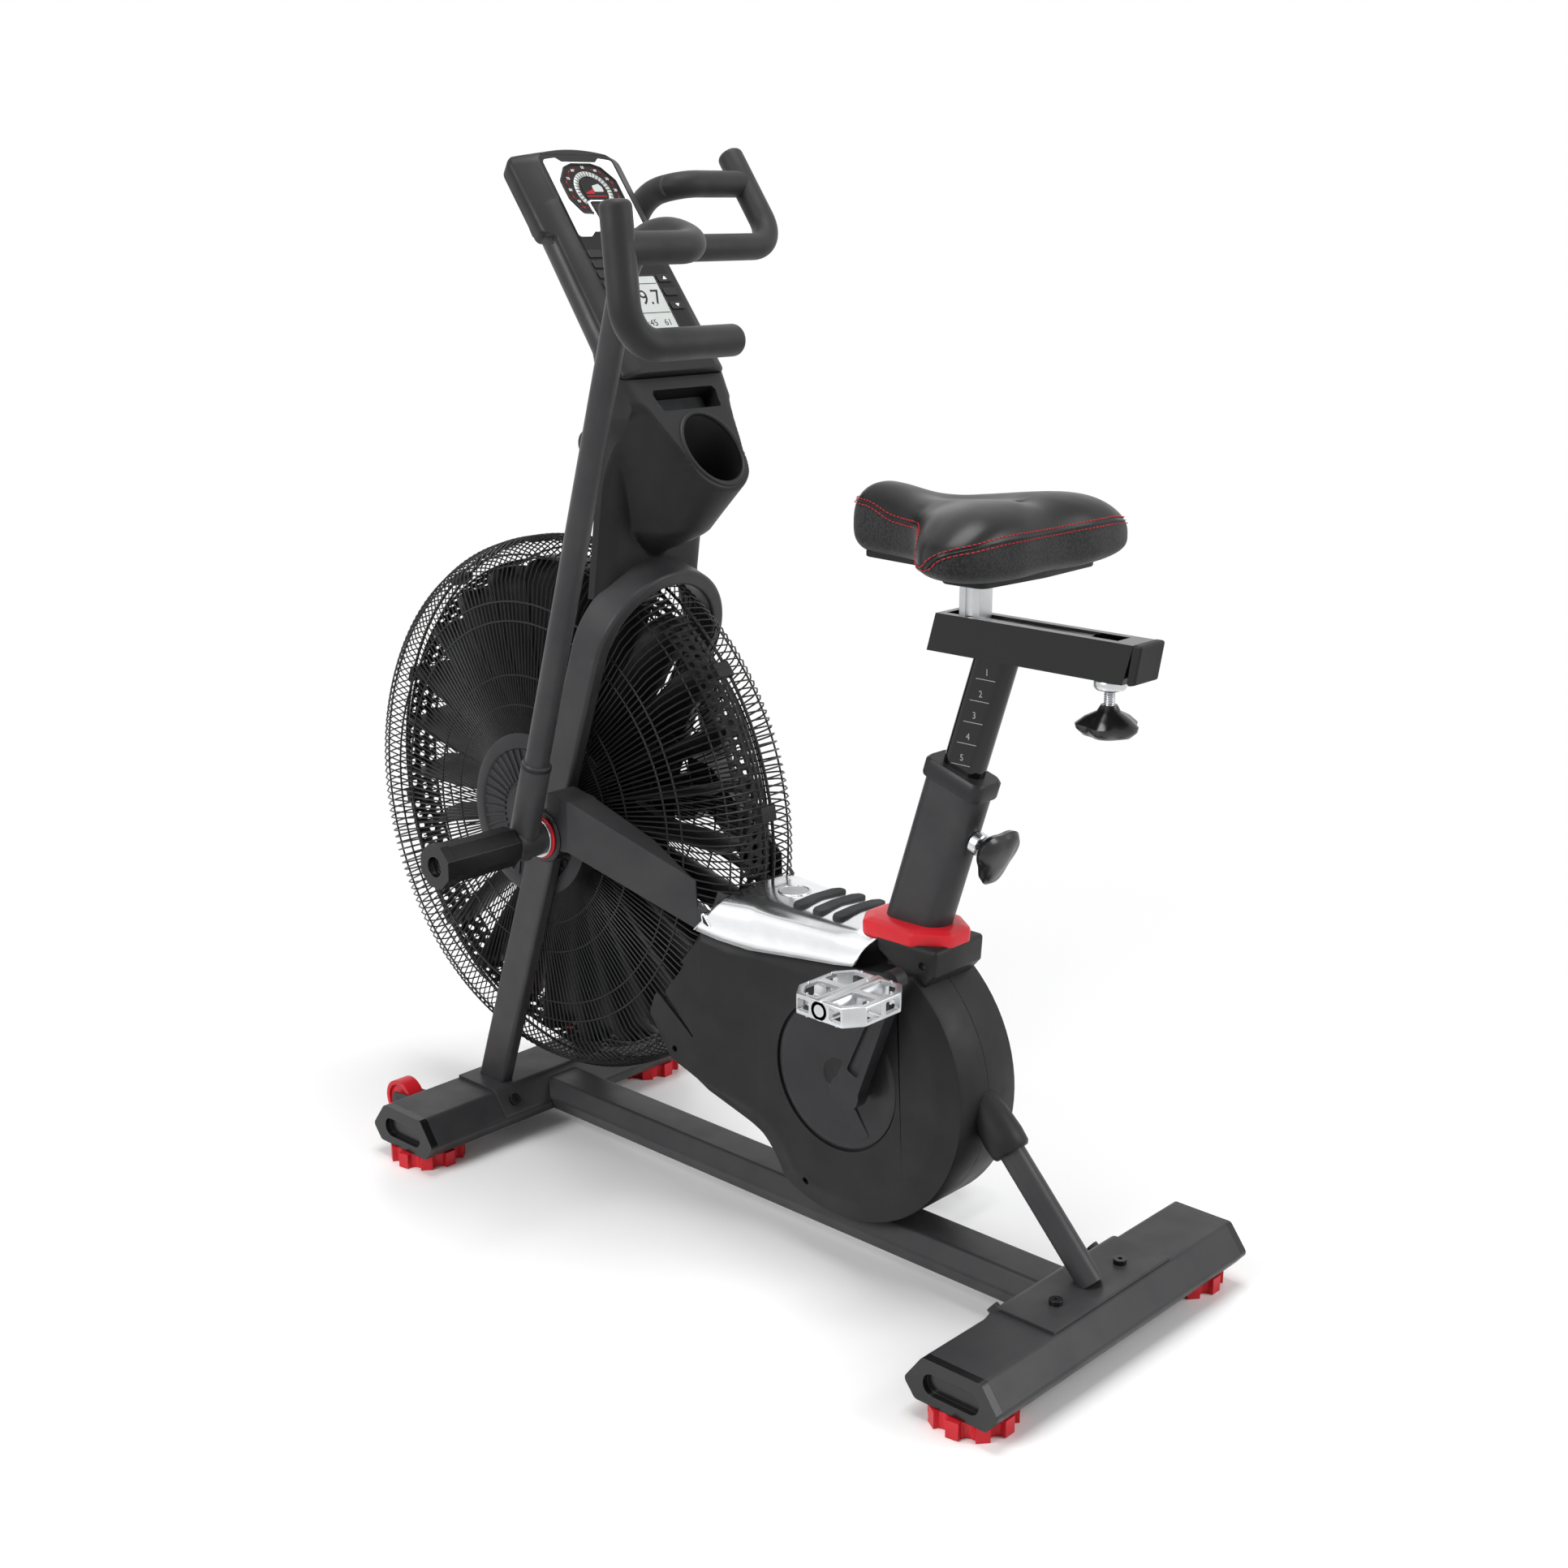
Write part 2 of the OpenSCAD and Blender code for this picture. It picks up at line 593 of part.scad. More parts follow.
module crank() color(PLASTIC) {
  crank_arm(1);
  mirror([0, 1, 0]) crank_arm(-1);
  translate([crank_x, 0, crank_height]) {
    ybar(axle_radius, -crank_outer, crank_outer);
    difference() {
      union() {
        ybar(pulley_radius - 0.3, belt_y - belt_width / 2, belt_y + belt_width / 2);
      }
      ybar(pulley_radius - 12, belt_y - belt_width / 2 - 1, belt_y - 2);
      ybar(pulley_radius - 12, belt_y + 2, belt_y + belt_width / 2 + 1);
    }
    ybar(axle_radius + 9, belt_y - belt_width / 2 + 0.5, belt_y + belt_width / 2);
  }
  for (s = [-1, 1]) translate(pedal_spot(s))
    ybar(spindle_radius, s > 0 ? -pedal_y - pedal_width + 6 : crank_inner,
         s > 0 ? -crank_inner : pedal_y + pedal_width - 6);
}

pedal_half = 12.5;
module pedal(s) color(STEEL) translate(pedal_spot(s)) mirror([0, s > 0 ? 0 : 1, 0]) difference() {
  union() {
    // frame of the platform
    translate([-pedal_length / 2, -pedal_y - pedal_width, -pedal_half])
      cube([pedal_length, pedal_width, 2 * pedal_half]);
    ybar(spindle_radius + 6, -pedal_y - pedal_width, -pedal_y);
  }
  for (k = [-1, 1]) translate([k * pedal_length / 4 - pedal_length / 8 + k * 2,
    -pedal_y - pedal_width + 10, -pedal_half - 1])
      cube([pedal_length / 4, pedal_width - 20, 2 * pedal_half + 2]);
  ybar(spindle_radius + run, -pedal_y - pedal_width - 1, -pedal_y + 1);
}
module left_pedal() pedal(1);
module right_pedal() pedal(-1);

// ---------- link housings, pivots and pegs ----------

// A housing runs from the pivot boss to the top cover, down and towards the middle
cover_front = front_x + 441;
cover_top_z = pivot_height - 45;
cover_half = shroud_half;
housing_bend = pivot_x + 46;
module housing_side(g) polygon([
  [pivot_x + 4 - g, pivot_height - 16 - g], [housing_bend, pivot_height - 12 - g * 1.1],
  [cover_front - 40 + g, cover_top_z - 48 - g], [cover_front + g, cover_top_z + g],
  [cover_front - 40, cover_top_z + 16 + g], [housing_bend + 4, pivot_height + 54 + g],
  [pivot_x + 10 - g, pivot_height + 60 + g]]);
module housing_plan(g) polygon([
  [pivot_x + 4 - g, -housing_outer - g], [housing_bend, -housing_outer - g],
  [cover_front + 12, -cover_half + 5 - g], [cover_front + 12, -cover_half + 14 + g],
  [cover_front - 20, -cover_half + 8 + g],
  [housing_bend + 10, -housing_inner + g], [pivot_x + 4 - g, -housing_inner + g]]);
module housing_solid(g) intersection() {
  slab(-housing_outer - 20, -20) housing_side(g);
  linear_extrude(900) housing_plan(g);
}
boss_chamber = boss_radius - 2;
hub_radius = 20;
axle_hole = 9;
ring_y = housing_outer + 7;
module left_link_housing() color(PAINT) difference() {
  union() {
    housing_solid(0);
    translate([pivot_x, 0, pivot_height]) ybar(boss_radius, -housing_outer - 4, -housing_inner);
  }
  intersection() {
    slab(-housing_outer - 20, -20) difference() {
      housing_side(-shell);
      translate([cover_front - 70, 0]) square([200, 900]);
    }
    linear_extrude(900) housing_plan(-shell);
  }
  translate([pivot_x, 0, pivot_height]) {
    ybar(boss_chamber, -housing_outer + shell, -housing_inner - shell);
    ybar(hub_radius + run, -housing_outer - 10, -housing_inner - shell);
    ybar(axle_hole, -housing_outer, 0);
  }
  upright_solid(0);
  guard_room(2);
}
module right_link_housing() mirror([0, 1, 0]) left_link_housing();

peg_start = arm_y + 22;
module axles() color(STEEL) {
  both() translate([pivot_x, 0, pivot_height]) difference() {
    ybar(14, -peg_start, -peg_start + 2);
    ybar(axle_hole, -peg_start - 1, -peg_start + 3);
  }
  translate([pivot_x, 0, pivot_height]) {
    ybar(axle_hole, -peg_end + 12, -housing_inner);
    ybar(axle_hole, housing_inner, peg_start + 3);
  }
  translate([fan_x, 0, fan_height]) ybar(fan_axle, -plate_y, plate_y);
}
module foot_pegs() color(PLASTIC) translate([pivot_x, 0, pivot_height]) difference() {
  union() {
    rotate([0, 22.5, 0]) translate([0, -peg_end + 14, 0]) rotate([-90, 0, 0])
      cylinder(r = (peg_radius - 3) / cos(22.5), h = peg_end - peg_start - 14, $fn = 8);
    rotate([0, 22.5, 0]) translate([0, -peg_end, 0]) rotate([-90, 0, 0])
      cylinder(r = peg_radius / cos(22.5), h = 14, $fn = 8);
    // cap on the end of the right axle
    ybar(16, peg_start + 0.2, peg_start + 9);
  }
  ybar(axle_hole, -peg_end + 12, -peg_start + 1);
  ybar(13, -peg_end - 1, -peg_end + 12);
  ybar(axle_hole, peg_start - 1, peg_start + 3);
}

// ---------- arms ----------

bend_radius = 85;
bar_top = [99, arm_bend + 113];
bar_low = [150, arm_bend - 7];
bar_join = [bar_top[0] + 12, arm_bend + bend_radius];
grip_end = 144;
core = arm_tube - 1.5;
module arm_frame(lean) translate([pivot_x, 0, pivot_height]) rotate([0, lean, 0]) children();
// Bars the hands hold: upright bar, lower bar and upper bar
module hand_bars(r) {
  bar([bar_top[0], -grip_y, bar_top[1]], [bar_low[0], -grip_y, bar_low[1]], r);
  translate([bar_low[0], -grip_y, bar_low[1]]) sphere(r = r + 0.6);
  translate([bar_low[0], 0, bar_low[1]]) ybar(r, -grip_y, -grip_end);
  translate([bar_join[0], 0, bar_join[1]]) ybar(r, -grip_y, -arm_y);
  translate([bar_join[0], -arm_y, bar_join[1]]) sphere(r = r + 0.6);
  bar([bend_radius, -arm_y, bar_join[1]], [bar_join[0], -arm_y, bar_join[1]], r);
}
lever_y = -housing_outer + shell + 1;
module arm_body() difference() {
  union() {
    // hub through the wall of the housing, and lever inside
    ybar(hub_radius, -ring_y - 4, -housing_outer + shell - 0.5);
    ybar(arm_sleeve + 7, -arm_y - arm_sleeve, -ring_y);
    ybar(11.5, lever_y - 2, -housing_inner - 5);
    slab(lever_y, lever_y + 6) {
      circle(r = 13);
      translate([0, link_throw]) circle(r = 7.5);
      translate([-7, 0]) square([14, link_throw]);
    }
    translate([0, 0, link_throw]) ybar(link_rod - 2, lever_y + 5, -housing_inner - 6);
    // sleeve and tube
    translate([0, -arm_y, 0]) cylinder(r = arm_sleeve, h = 115);
    difference() {
      translate([0, -arm_y, 100]) cylinder(r = arm_tube, h = arm_bend - 100);
      translate([0, -arm_y, 118]) cylinder(r = arm_tube - 2, h = arm_bend - 100);
    }
    translate([bend_radius, -arm_y, arm_bend]) rotate([90, 0, 0]) rotate([0, 0, 90])
      rotate_extrude(angle = 90) translate([bend_radius, 0]) difference() {
        circle(r = arm_tube);
        circle(r = arm_tube - 2);
      }
    hand_bars(core);
  }
  ybar(axle_hole + run, -arm_y - 60, -60);
}
module arm_grip() difference() {
  hand_bars(foam);
  hand_bars(core);
  translate([0, -arm_y - 60, 0]) cube([bend_radius, 120, 2000]);
}
module left_arm() color(PAINT) arm_frame(arm_rest_left) arm_body();
module left_grip() color(FOAM) arm_frame(arm_rest_left) arm_grip();
module right_arm() color(PAINT) mirror([0, 1, 0]) arm_frame(arm_rest_right) arm_body();
module right_grip() color(FOAM) mirror([0, 1, 0]) arm_frame(arm_rest_right) arm_grip();

link_length = 140;
link_y = (lever_y - housing_inner) / 2 + 1;
module link(lean) translate([pivot_x + link_throw * sin(lean), 0, pivot_height + link_throw * cos(lean)])
  difference() {
    union() {
      ybar(link_rod + 2.5, lever_y + 8, -housing_inner - 7);
      bar([4, link_y, 0.5], [60, link_y, -6], link_rod - 1.5);
      translate([60, link_y, -6]) sphere(r = link_rod - 1);
      bar([60, link_y, -6], [link_length, link_y + 31, -48], link_rod - 1.5);
    }
    ybar(link_rod - 2 + run, -housing_outer, -80);
  }
module left_link() color(STEEL) link(arm_rest_left);
module right_link() color(STEEL) mirror([0, 1, 0]) link(arm_rest_right);

// ---------- shroud and top cover ----------

cover_rear = seat_x - 20;
deck = seat_foot - 4;
cover_half_rear = 50;
skirt = cover_top_z - 48;
function shroud_points(g) = concat(
  [[fan_x + 221 - g, fan_height - 221 - g * 0.3], [fan_x + 262 - g * 0.7, fan_height - 280 - g],
   [front_x + 507, crank_height - 126 - g]],
  [for (i = [0 : 14]) let (a = -118 + i * 172 / 14)
    [shroud_x + (shroud_radius + g) * cos(a), shroud_height + (shroud_radius + g) * sin(a)]],
  [[cover_rear - 24, skirt + g], [cover_front + 10, skirt + g], [cover_front - 38 - g, skirt + g],
   [fan_x + 232 - g, fan_height - 192]]);
module left_shroud() color(PLASTIC) difference() {
  union() {
    slab(-shroud_half, -0.2) polygon(shroud_points(0));
    // cheek beside the guard
    intersection() {
      slab(-guard_half - 9, -0.2) polygon(shroud_points(0));
      translate([fan_x, 0, fan_height]) ybar(guard_radius + 7, -200, 0);
    }
  }
  // hollow, and open at the top under the cover
  slab(-shroud_half + shell, 1) {
    polygon(shroud_points(-shell));
    translate([cover_front + 8, skirt - 30]) square([cover_rear - cover_front - 30, 60]);
  }
  guard_room(2);
  cover_solid(0);
  // round recess behind the crank
  translate([shroud_x + 4, 0, shroud_height + 1]) ybar(94, -shroud_half - 1, -shroud_half + 1.5);
  translate([crank_x, 0, crank_height]) ybar(axle_radius + 4, -100, 1);
  // base rail, posts and stay pass through
  translate([crank_x - post_size / 2 - gap, -post_size / 2 - gap, 0])
    cube([post_size + 2 * gap, post_size + 2 * gap, crank_height]);
  translate([-700, 0, 0]) rotate([90, 0, 90]) linear_extrude(1400) rail_outline(gap);
  translate([crank_x - 50, -post_size / 2 - 4, skirt - 30]) cube([130, post_size / 2 + 8, 100]);
  stay_bar(stay_radius + gap);
}
module right_shroud() mirror([0, 1, 0]) left_shroud();

stay_radius = 16;
stay_top = [crank_x + 20, 0, crank_height + 120];
module stay_bar(r) bar([rear_x + 8, 0, beam_top + 4], stay_top, r);
module rear_stay() color(PAINT) difference() {
  stay_bar(stay_radius);
  stay_bar(stay_radius - 2.5);
  translate([rear_x - 200, -200, -100]) cube([400, 400, beam_top + bracket_plate + 100]);
  translate([crank_x - 200, -100, crank_height]) rotate([0, seat_tilt, 0])
    translate([200 - 200 - 40, 0, -40]) cube([200 + 40 + post_size / 2, 200, 400]);
}

function cover_side(g) = [
  [cover_front - 40 - g, skirt - g], [cover_front - g * 0.3, cover_top_z + g], [cover_rear + g, deck - 2 + g],
  [cover_rear + g, deck - 16 - g], [cover_rear - 26, skirt + 1 - g], [cover_rear - 110, skirt - 1 - g],
  [cover_front + 46, skirt - 10 - g]];
function cover_plan(g) = [
  [cover_front - 42 - g, -cover_half - 19 - g], [cover_front + 2, -cover_half - 3 - g],
  [cover_rear - 50, -cover_half - 1 - g], [cover_rear + g, -cover_half_rear - g],
  [cover_rear + g, cover_half_rear + g], [cover_rear - 50, cover_half + 1 + g],
  [cover_front + 2, cover_half + 3 + g], [cover_front - 42 - g, cover_half + 19 + g]];
module cover_solid(g) intersection() {
  slab(-300, 300) polygon(cover_side(g));
  linear_extrude(900) polygon(cover_plan(g));
}
module top_cover() color(STEEL) difference() {
  cover_solid(0);
  intersection() {
    slab(-300, 300) polygon([
      [cover_front - 80, skirt - 30], [cover_front - 38, skirt + 6], [cover_front, cover_top_z - shell],
      [cover_rear - shell, deck - 2 - shell], [cover_rear - shell, skirt - 30]]);
    linear_extrude(900) polygon(cover_plan(-shell));
  }
  guard_room(2);
  housing_solid(0);
  mirror([0, 1, 0]) housing_solid(0);
  translate([crank_x - 50, -post_size / 2 - 4, skirt - 30]) cube([130, post_size + 8, 100]);
}

// ---------- seat ----------

module seat_frame() translate([seat_x, 0, seat_foot]) rotate([0, seat_lean, 0]) children();
module oval(d, w) union() {
  square([d - w, w], center = true);
  for (k = [-1, 1]) translate([k * (d - w) / 2, 0]) circle(d = w);
}
slide = 0.3;
collar_height = 26;
collar_front = seat_x - 64;
collar_rear = seat_x + 66;
// The tube is cut level at its foot, on top of the strut and the cover
// Room under the tube for the foot of the lowered post
module post_room() translate([0, 0, -62]) linear_extrude(80)
  oval(post_depth + 2 * slide, post_width + 2 * slide);
module seat_tube() color(PAINT) difference() {
  seat_frame() difference() {
    translate([0, 0, -60]) linear_extrude(seat_tube_length + 60) oval(seat_tube_depth, seat_tube_width);
    translate([0, 0, 12]) linear_extrude(seat_tube_length) oval(seat_tube_depth - 6, seat_tube_width - 6);
    post_room();
    pin_place() rotate([0, 90, 0]) cylinder(r = pin_radius + 3, h = 60);
  }
  translate([-400, -200, 0]) cube([1200, 400, seat_foot]);
}
module seat_tube_collar() color(RED) {
  difference() {
    translate([0, 0, seat_foot - 9]) linear_extrude(collar_height) polygon(rounded([
      [collar_front, -cover_half_rear + 4], [collar_rear, -cover_half_rear + 4],
      [collar_rear, cover_half_rear - 4], [collar_front, cover_half_rear - 4]], 34, 8));
    seat_frame() translate([0, 0, -60]) linear_extrude(seat_tube_length + 60)
      oval(seat_tube_depth, seat_tube_width);
    cover_solid(0);
    translate([crank_x, 0, crank_height]) rotate([0, seat_tilt, 0])
      translate([-post_size / 2, -post_size / 2, 0]) cube([post_size, post_size, 400]);
  }
  // plastic sleeve that guides the post
  seat_frame() difference() {
    translate([0, 0, seat_tube_length - 60]) linear_extrude(64)
      oval(seat_tube_depth - 6.2, seat_tube_width - 6.2);
    translate([0, 0, seat_tube_length - 61]) linear_extrude(66)
      oval(post_depth + 2 * slide, post_width + 2 * slide);
    pin_place() rotate([0, 90, 0]) cylinder(r = pin_radius + 1, h = 60);
  }
}
pin_height = 163;
pin_radius = 5;
module pin_place() translate([post_depth / 2 + slide, 0, pin_height - 20]) children();
rail_half_y = seat_rail_width / 2;
rail_under = seat_foot + (seat_tube_length + post_show) * cos(seat_lean);
rail_mid = seat_x + (seat_tube_length + post_show) * sin(seat_lean) + 54;
rail_wall = 3;
slot_half = 12;
knob_x = rail_mid + 96;
module seat_post() color(PAINT) {
  difference() {
    seat_frame() difference() {
      translate([0, 0, 50]) linear_extrude(seat_tube_length + post_show + 12) oval(post_depth, post_width);
      translate([0, 0, 49]) linear_extrude(seat_tube_length + post_show - 38)
        oval(post_depth - 6, post_width - 6);
      for (i = [0 : 5]) translate([0, 0, pin_height - 20 + (i - 3) * post_pitch]) rotate([0, 90, 0])
        cylinder(r = pin_radius + 0.5, h = 60);
    }
    translate([0, -200, rail_under]) cube([1000, 400, 400]);
  }
  difference() {
    slab(-rail_half_y, rail_half_y) polygon([
      [rail_mid - seat_rail_length / 2 - 6, rail_under], [rail_mid + seat_rail_length / 2 - 6, rail_under],
      [rail_mid + seat_rail_length / 2 + 6, rail_under + seat_rail_height],
      [rail_mid - seat_rail_length / 2 + 6, rail_under + seat_rail_height]]);
    slab(-rail_half_y + rail_wall, rail_half_y - rail_wall) polygon([
      [rail_mid - seat_rail_length / 2 + 3, rail_under + rail_wall],
      [rail_mid + seat_rail_length / 2 - 9, rail_under + rail_wall],
      [rail_mid + seat_rail_length / 2 - 3, rail_under + seat_rail_height - rail_wall],
      [rail_mid - seat_rail_length / 2 + 9, rail_under + seat_rail_height - rail_wall]]);
    translate([rail_mid - seat_rail_length / 2 + 14, -slot_half, rail_under + seat_rail_height - rail_wall - 1])
      cube([seat_rail_length - 34, 2 * slot_half, 10]);
    translate([knob_x, 0, rail_under - 20]) cylinder(r = 6 + run, h = 40);
  }
  // nut under the rail for the clamp knob
  translate([knob_x, 0, rail_under - 12]) difference() {
    cylinder(r = 14, h = 12);
    translate([0, 0, -1]) cylinder(r = 6 + run, h = 14);
  }
}
carriage_x = rail_mid - 86;
saddle_z = rail_under + seat_rail_height + 54;
module saddle_clamp() color(PLASTIC) {
  translate([carriage_x - 18, -rail_half_y + rail_wall + slide,
    rail_under + seat_rail_height - rail_wall - slide - 16])
    cube([170, 2 * (rail_half_y - rail_wall - slide), 16]);
  translate([carriage_x - 14, -slot_half + slide, rail_under + seat_rail_height - rail_wall - slide - 1])
    cube([28, 2 * (slot_half - slide), 46]);
  translate([carriage_x, 0, rail_under + seat_rail_height + 0.5]) cylinder(r = 12.9, h = 46);
  translate([carriage_x - 30, -20, saddle_z - 18]) cube([60, 40, 18]);
}
module saddle() color(PLASTIC) translate([carriage_x - 24, 0, saddle_z]) {
  linear_extrude(saddle_height) polygon(rounded([
    [-saddle_length / 2 - 2, -34], [-saddle_length * 0.14, -46], [saddle_length * 0.15, -saddle_width / 2 + 12],
    [saddle_length * 0.3, -saddle_width / 2], [saddle_length / 2, -saddle_width * 0.36],
    [saddle_length / 2, saddle_width * 0.36], [saddle_length * 0.3, saddle_width / 2],
    [saddle_length * 0.15, saddle_width / 2 - 12], [-saddle_length * 0.14, 46],
    [-saddle_length / 2 - 2, 34]], 14, 4));
}
module lobed_knob(r, h) difference() {
  union() {
    cylinder(r = r * 0.62, h = h);
    for (i = [0 : 2]) rotate([0, 0, i * 120]) translate([r * 0.6, 0, 0]) cylinder(r = r * 0.4, h = h);
  }
}
module seat_pin() color(PLASTIC) seat_frame() pin_place() rotate([0, 90, 0]) {
  translate([0, 0, 0.2]) cylinder(r = pin_radius, h = seat_tube_depth / 2 - post_depth / 2 + 20);
  translate([0, 0, seat_tube_depth / 2 - post_depth / 2 + 19]) lobed_knob(32, 22);
}
module clamp_knob() color(PLASTIC) translate([knob_x, 0, rail_under]) {
  translate([0, 0, -30]) cylinder(r = 6, h = 30 + rail_wall + 12);
  translate([0, 0, -66]) lobed_knob(32, 37);
}

// ---------- mast, console and cup holder ----------

arch_rise = arch_u + upright_y1;
arch_top_x = front_x + foot_shift + arch_rise * sin(upright_lean);
arch_top_z = frame_foot + arch_rise * cos(upright_lean);
mast_foot = [arch_top_x - 36, 0, arch_top_z + 14];
console_tilt = 53.6;
face_x = front_x + 97;
mast_knee = [front_x + 176, 0, mast_bend];
mast_end = [face_x - 22, 0, console_top - 84];
// The mast: foot on the arch, knee behind the fairing, end in the console
module mast_bars(r) {
  bar(mast_foot, mast_knee, r);
  translate(mast_knee) sphere(r = r + 0.4);
  bar(mast_knee, mast_end, r);
}
crossbar_z = 985;
module mast() color(PAINT) difference() {
  union() {
    mast_bars(mast_radius);
    translate([mast_foot[0] + (crossbar_z - mast_foot[2])
      * (mast_knee[0] - mast_foot[0]) / (mast_knee[2] - mast_foot[2]),
      0, crossbar_z]) ybar(17, -64, 64);
  }
  bar(mast_foot - [0, 0, 40], mast_knee, mast_radius - 2.5);
  arch_solid(0);
}
// Frame of the console: along its face, across, out of its face
module face_frame() translate([face_x, 0, console_top]) rotate([0, console_tilt, 0]) children();
face_rise = 20;
face_back = 26;
module face_section(g) polygon([
  [-console_width / 2 - g, 0], [-face_width / 2 - g * 0.5, face_rise + g],
  [face_width / 2 + g * 0.5, face_rise + g],
  [console_width / 2 + g, 0], [console_width / 2 - 8 + g, -face_back - g],
  [-console_width / 2 + 8 - g, -face_back - g]]);
module along_face(t0, t1) translate([t0, 0, 0]) rotate([90, 0, 90]) linear_extrude(t1 - t0) children();
module key_room(k, g) face_frame() translate([key_t(k), key_y(k), face_rise - 9])
  translate([-key_l(k) / 2 - g, -key_w(k) / 2 - g, 0]) cube([key_l(k) + 2 * g, key_w(k) + 2 * g, 14]);
KEYS = [
  [156, -47, 9, 22], [171, -47, 9, 22], [186, -47, 9, 22], [201, -47, 9, 22], [216, -47, 9, 22],
  [194, 47, 9, 22], [214, 47, 9, 22], [234, 47, 9, 22], [109, -9, 16, 12], [109, 9, 16, 12]];
function key_t(k) = KEYS[k][0];
function key_y(k) = KEYS[k][1] * face_width / 124;
function key_l(k) = KEYS[k][2];
function key_w(k) = KEYS[k][3] * min(1, face_width / 124);
module console_housing() color(PLASTIC) difference() {
  union() {
    face_frame() {
      along_face(0, console_length) face_section(0);
      // block round the end of the mast
      slab(-36, 36) polygon([[4, -20], [10, -46], [34, -86], [66, -96], [84, -72], [112, -22]]);
    }
  }
  face_frame() along_face(shell, console_length - shell) difference() {
    face_section(-shell);
    translate([-15, -face_back - 1]) square([30, face_rise + face_back - 8]);
  }
  mast_bars(mast_radius + 0.05);
  for (k = [0 : len(KEYS) - 1]) key_room(k, 0.3);
}
module console_face() color(STEEL) difference() {
  face_frame() {
    // bezel with the dial gauge
    along_face(17, 132) translate([-face_width / 2, face_rise]) square([face_width, 2]);
    translate([62, 0, face_rise + 1]) difference() {
      cylinder(r = 40, h = 4);
      translate([0, 0, 3]) cylinder(r = 36, h = 4);
    }
    // display
    along_face(191, 274) translate([-31, face_rise]) square([62, 1.5]);
  }
  for (k = [0 : len(KEYS) - 1]) key_room(k, 0.3);
}
module key(k) color(k > 7 ? RED : PLASTIC) face_frame() translate([key_t(k), key_y(k), face_rise - 4]) {
  translate([-key_l(k) / 2, -key_w(k) / 2, 0]) cube([key_l(k), key_w(k), 4 + (k > 7 ? 4 : 1.5)]);
  translate([-key_l(k) / 2 - 1.5, -key_w(k) / 2 - 1.5, -1]) cube([key_l(k) + 3, key_w(k) + 3, 1.7]);
}

fairing_out = 90;
fairing_in = 86.5;
cup_lean = 25;
cup_t = 430;
cup_n = 10;
panel_side = console_width / 2;
module cup_frame() face_frame() translate([cup_t, 0, cup_n]) rotate([0, cup_lean - console_tilt, 0]) children();
fairing_z = console_top - console_length * sin(console_tilt);
fairing_x = face_x + console_length * cos(console_tilt);
fairing_top = [fairing_x, fairing_z];
fairing_foot = [arch_top_x - 20, arch_top_z - 28];
module fairing_side(w) polygon([
  fairing_top, fairing_foot, fairing_foot - [w, -4], fairing_top - [w, 0]]);
module mast_shroud() color(PLASTIC) difference() {
  union() {
    slab(-fairing_out, fairing_out) fairing_side(4);
    both() slab(-fairing_out, -fairing_in) fairing_side(30);
    // sloping panel with the device slot, down to the cup's lip
    face_frame() translate([console_length, 0, cup_n - 12]) linear_extrude(12) polygon([
      [0, -panel_side + 2], [60, -fairing_in - 1], [100, -66], [cup_t + 56 - console_length, -34],
      [cup_t + 56 - console_length, 34], [100, 66], [60, fairing_in + 1], [0, panel_side - 2]]);
    // cup
    difference() {
      cup_frame() translate([0, 0, -cup_depth - 3]) cylinder(r = cup_radius + 3, h = cup_depth + 60);
      face_frame() translate([cup_t - 200, -100, cup_n]) cube([400, 200, 200]);
    }
  }
  cup_frame() translate([0, 0, -cup_depth]) cylinder(r = cup_radius, h = cup_depth + 80);
  // slot for a telephone or a tablet
  face_frame() translate([console_length + 20, -52, cup_n - 20]) cube([24, 104, 40]);
  // waist on both sides
  both() translate([-400, -280, fairing_z - 66]) rotate([0, 90, 0]) cylinder(r = 206, h = 800);
  face_frame() along_face(0, console_length) face_section(0);
  mast_bars(mast_radius + 0.3);
  arch_solid(0.3);
  lean_frame() translate([-60, 0, arch_u]) rotate([0, 90, 0]) cylinder(r = upright_y1, h = 160);
  upright_solid(0.3);
  mirror([0, 1, 0]) upright_solid(0.3);
  guard_room(3);
}

// ---------- what is drawn ----------

front_stabiliser();
rear_stabiliser();
stabiliser_end_caps();
base_rail();
frame_bolts();
left_upright();
right_upright();
frame_arch();
left_link_housing();
right_link_housing();
axles();
foot_pegs();
seat_tube();
seat_tube_collar();
left_shroud();
right_shroud();
top_cover();
inner_frame();
rear_stay();
mast();
mast_shroud();
console_housing();
console_face();
left_guard();
right_guard();
hub_caps();
drive_belt();
fan();
crank();
left_pedal();
right_pedal();
left_arm();
left_grip();
right_arm();
right_grip();
left_link();
right_link();
seat_post();
saddle_clamp();
saddle();
seat_pin();
clamp_knob();
wheel(-1);  // left_wheel
wheel(1);  // right_wheel
foot(front_x, -foot_y);  // front_left_foot
foot(front_x, foot_y);  // front_right_foot
foot(rear_x, -foot_y);  // rear_left_foot
foot(rear_x, foot_y);  // rear_right_foot
key(0);  // key_1
key(1);  // key_2
key(2);  // key_3
key(3);  // key_4
key(4);  // key_5
key(5);  // key_6
key(6);  // key_7
key(7);  // key_8
key(8);  // key_9
key(9);  // key_10
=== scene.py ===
"""Looks of an upright air bike: a fan in a wire cage, two swinging arms, a saddle and a console.

Sizes are in millimetres until a mesh is made. +X is the rear, +Y the rider's right, +Z is up.
"""

import json
import logging
import math
from dataclasses import dataclass
from enum import Enum

import bmesh
import bpy
import numpy as np
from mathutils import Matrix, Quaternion, Vector

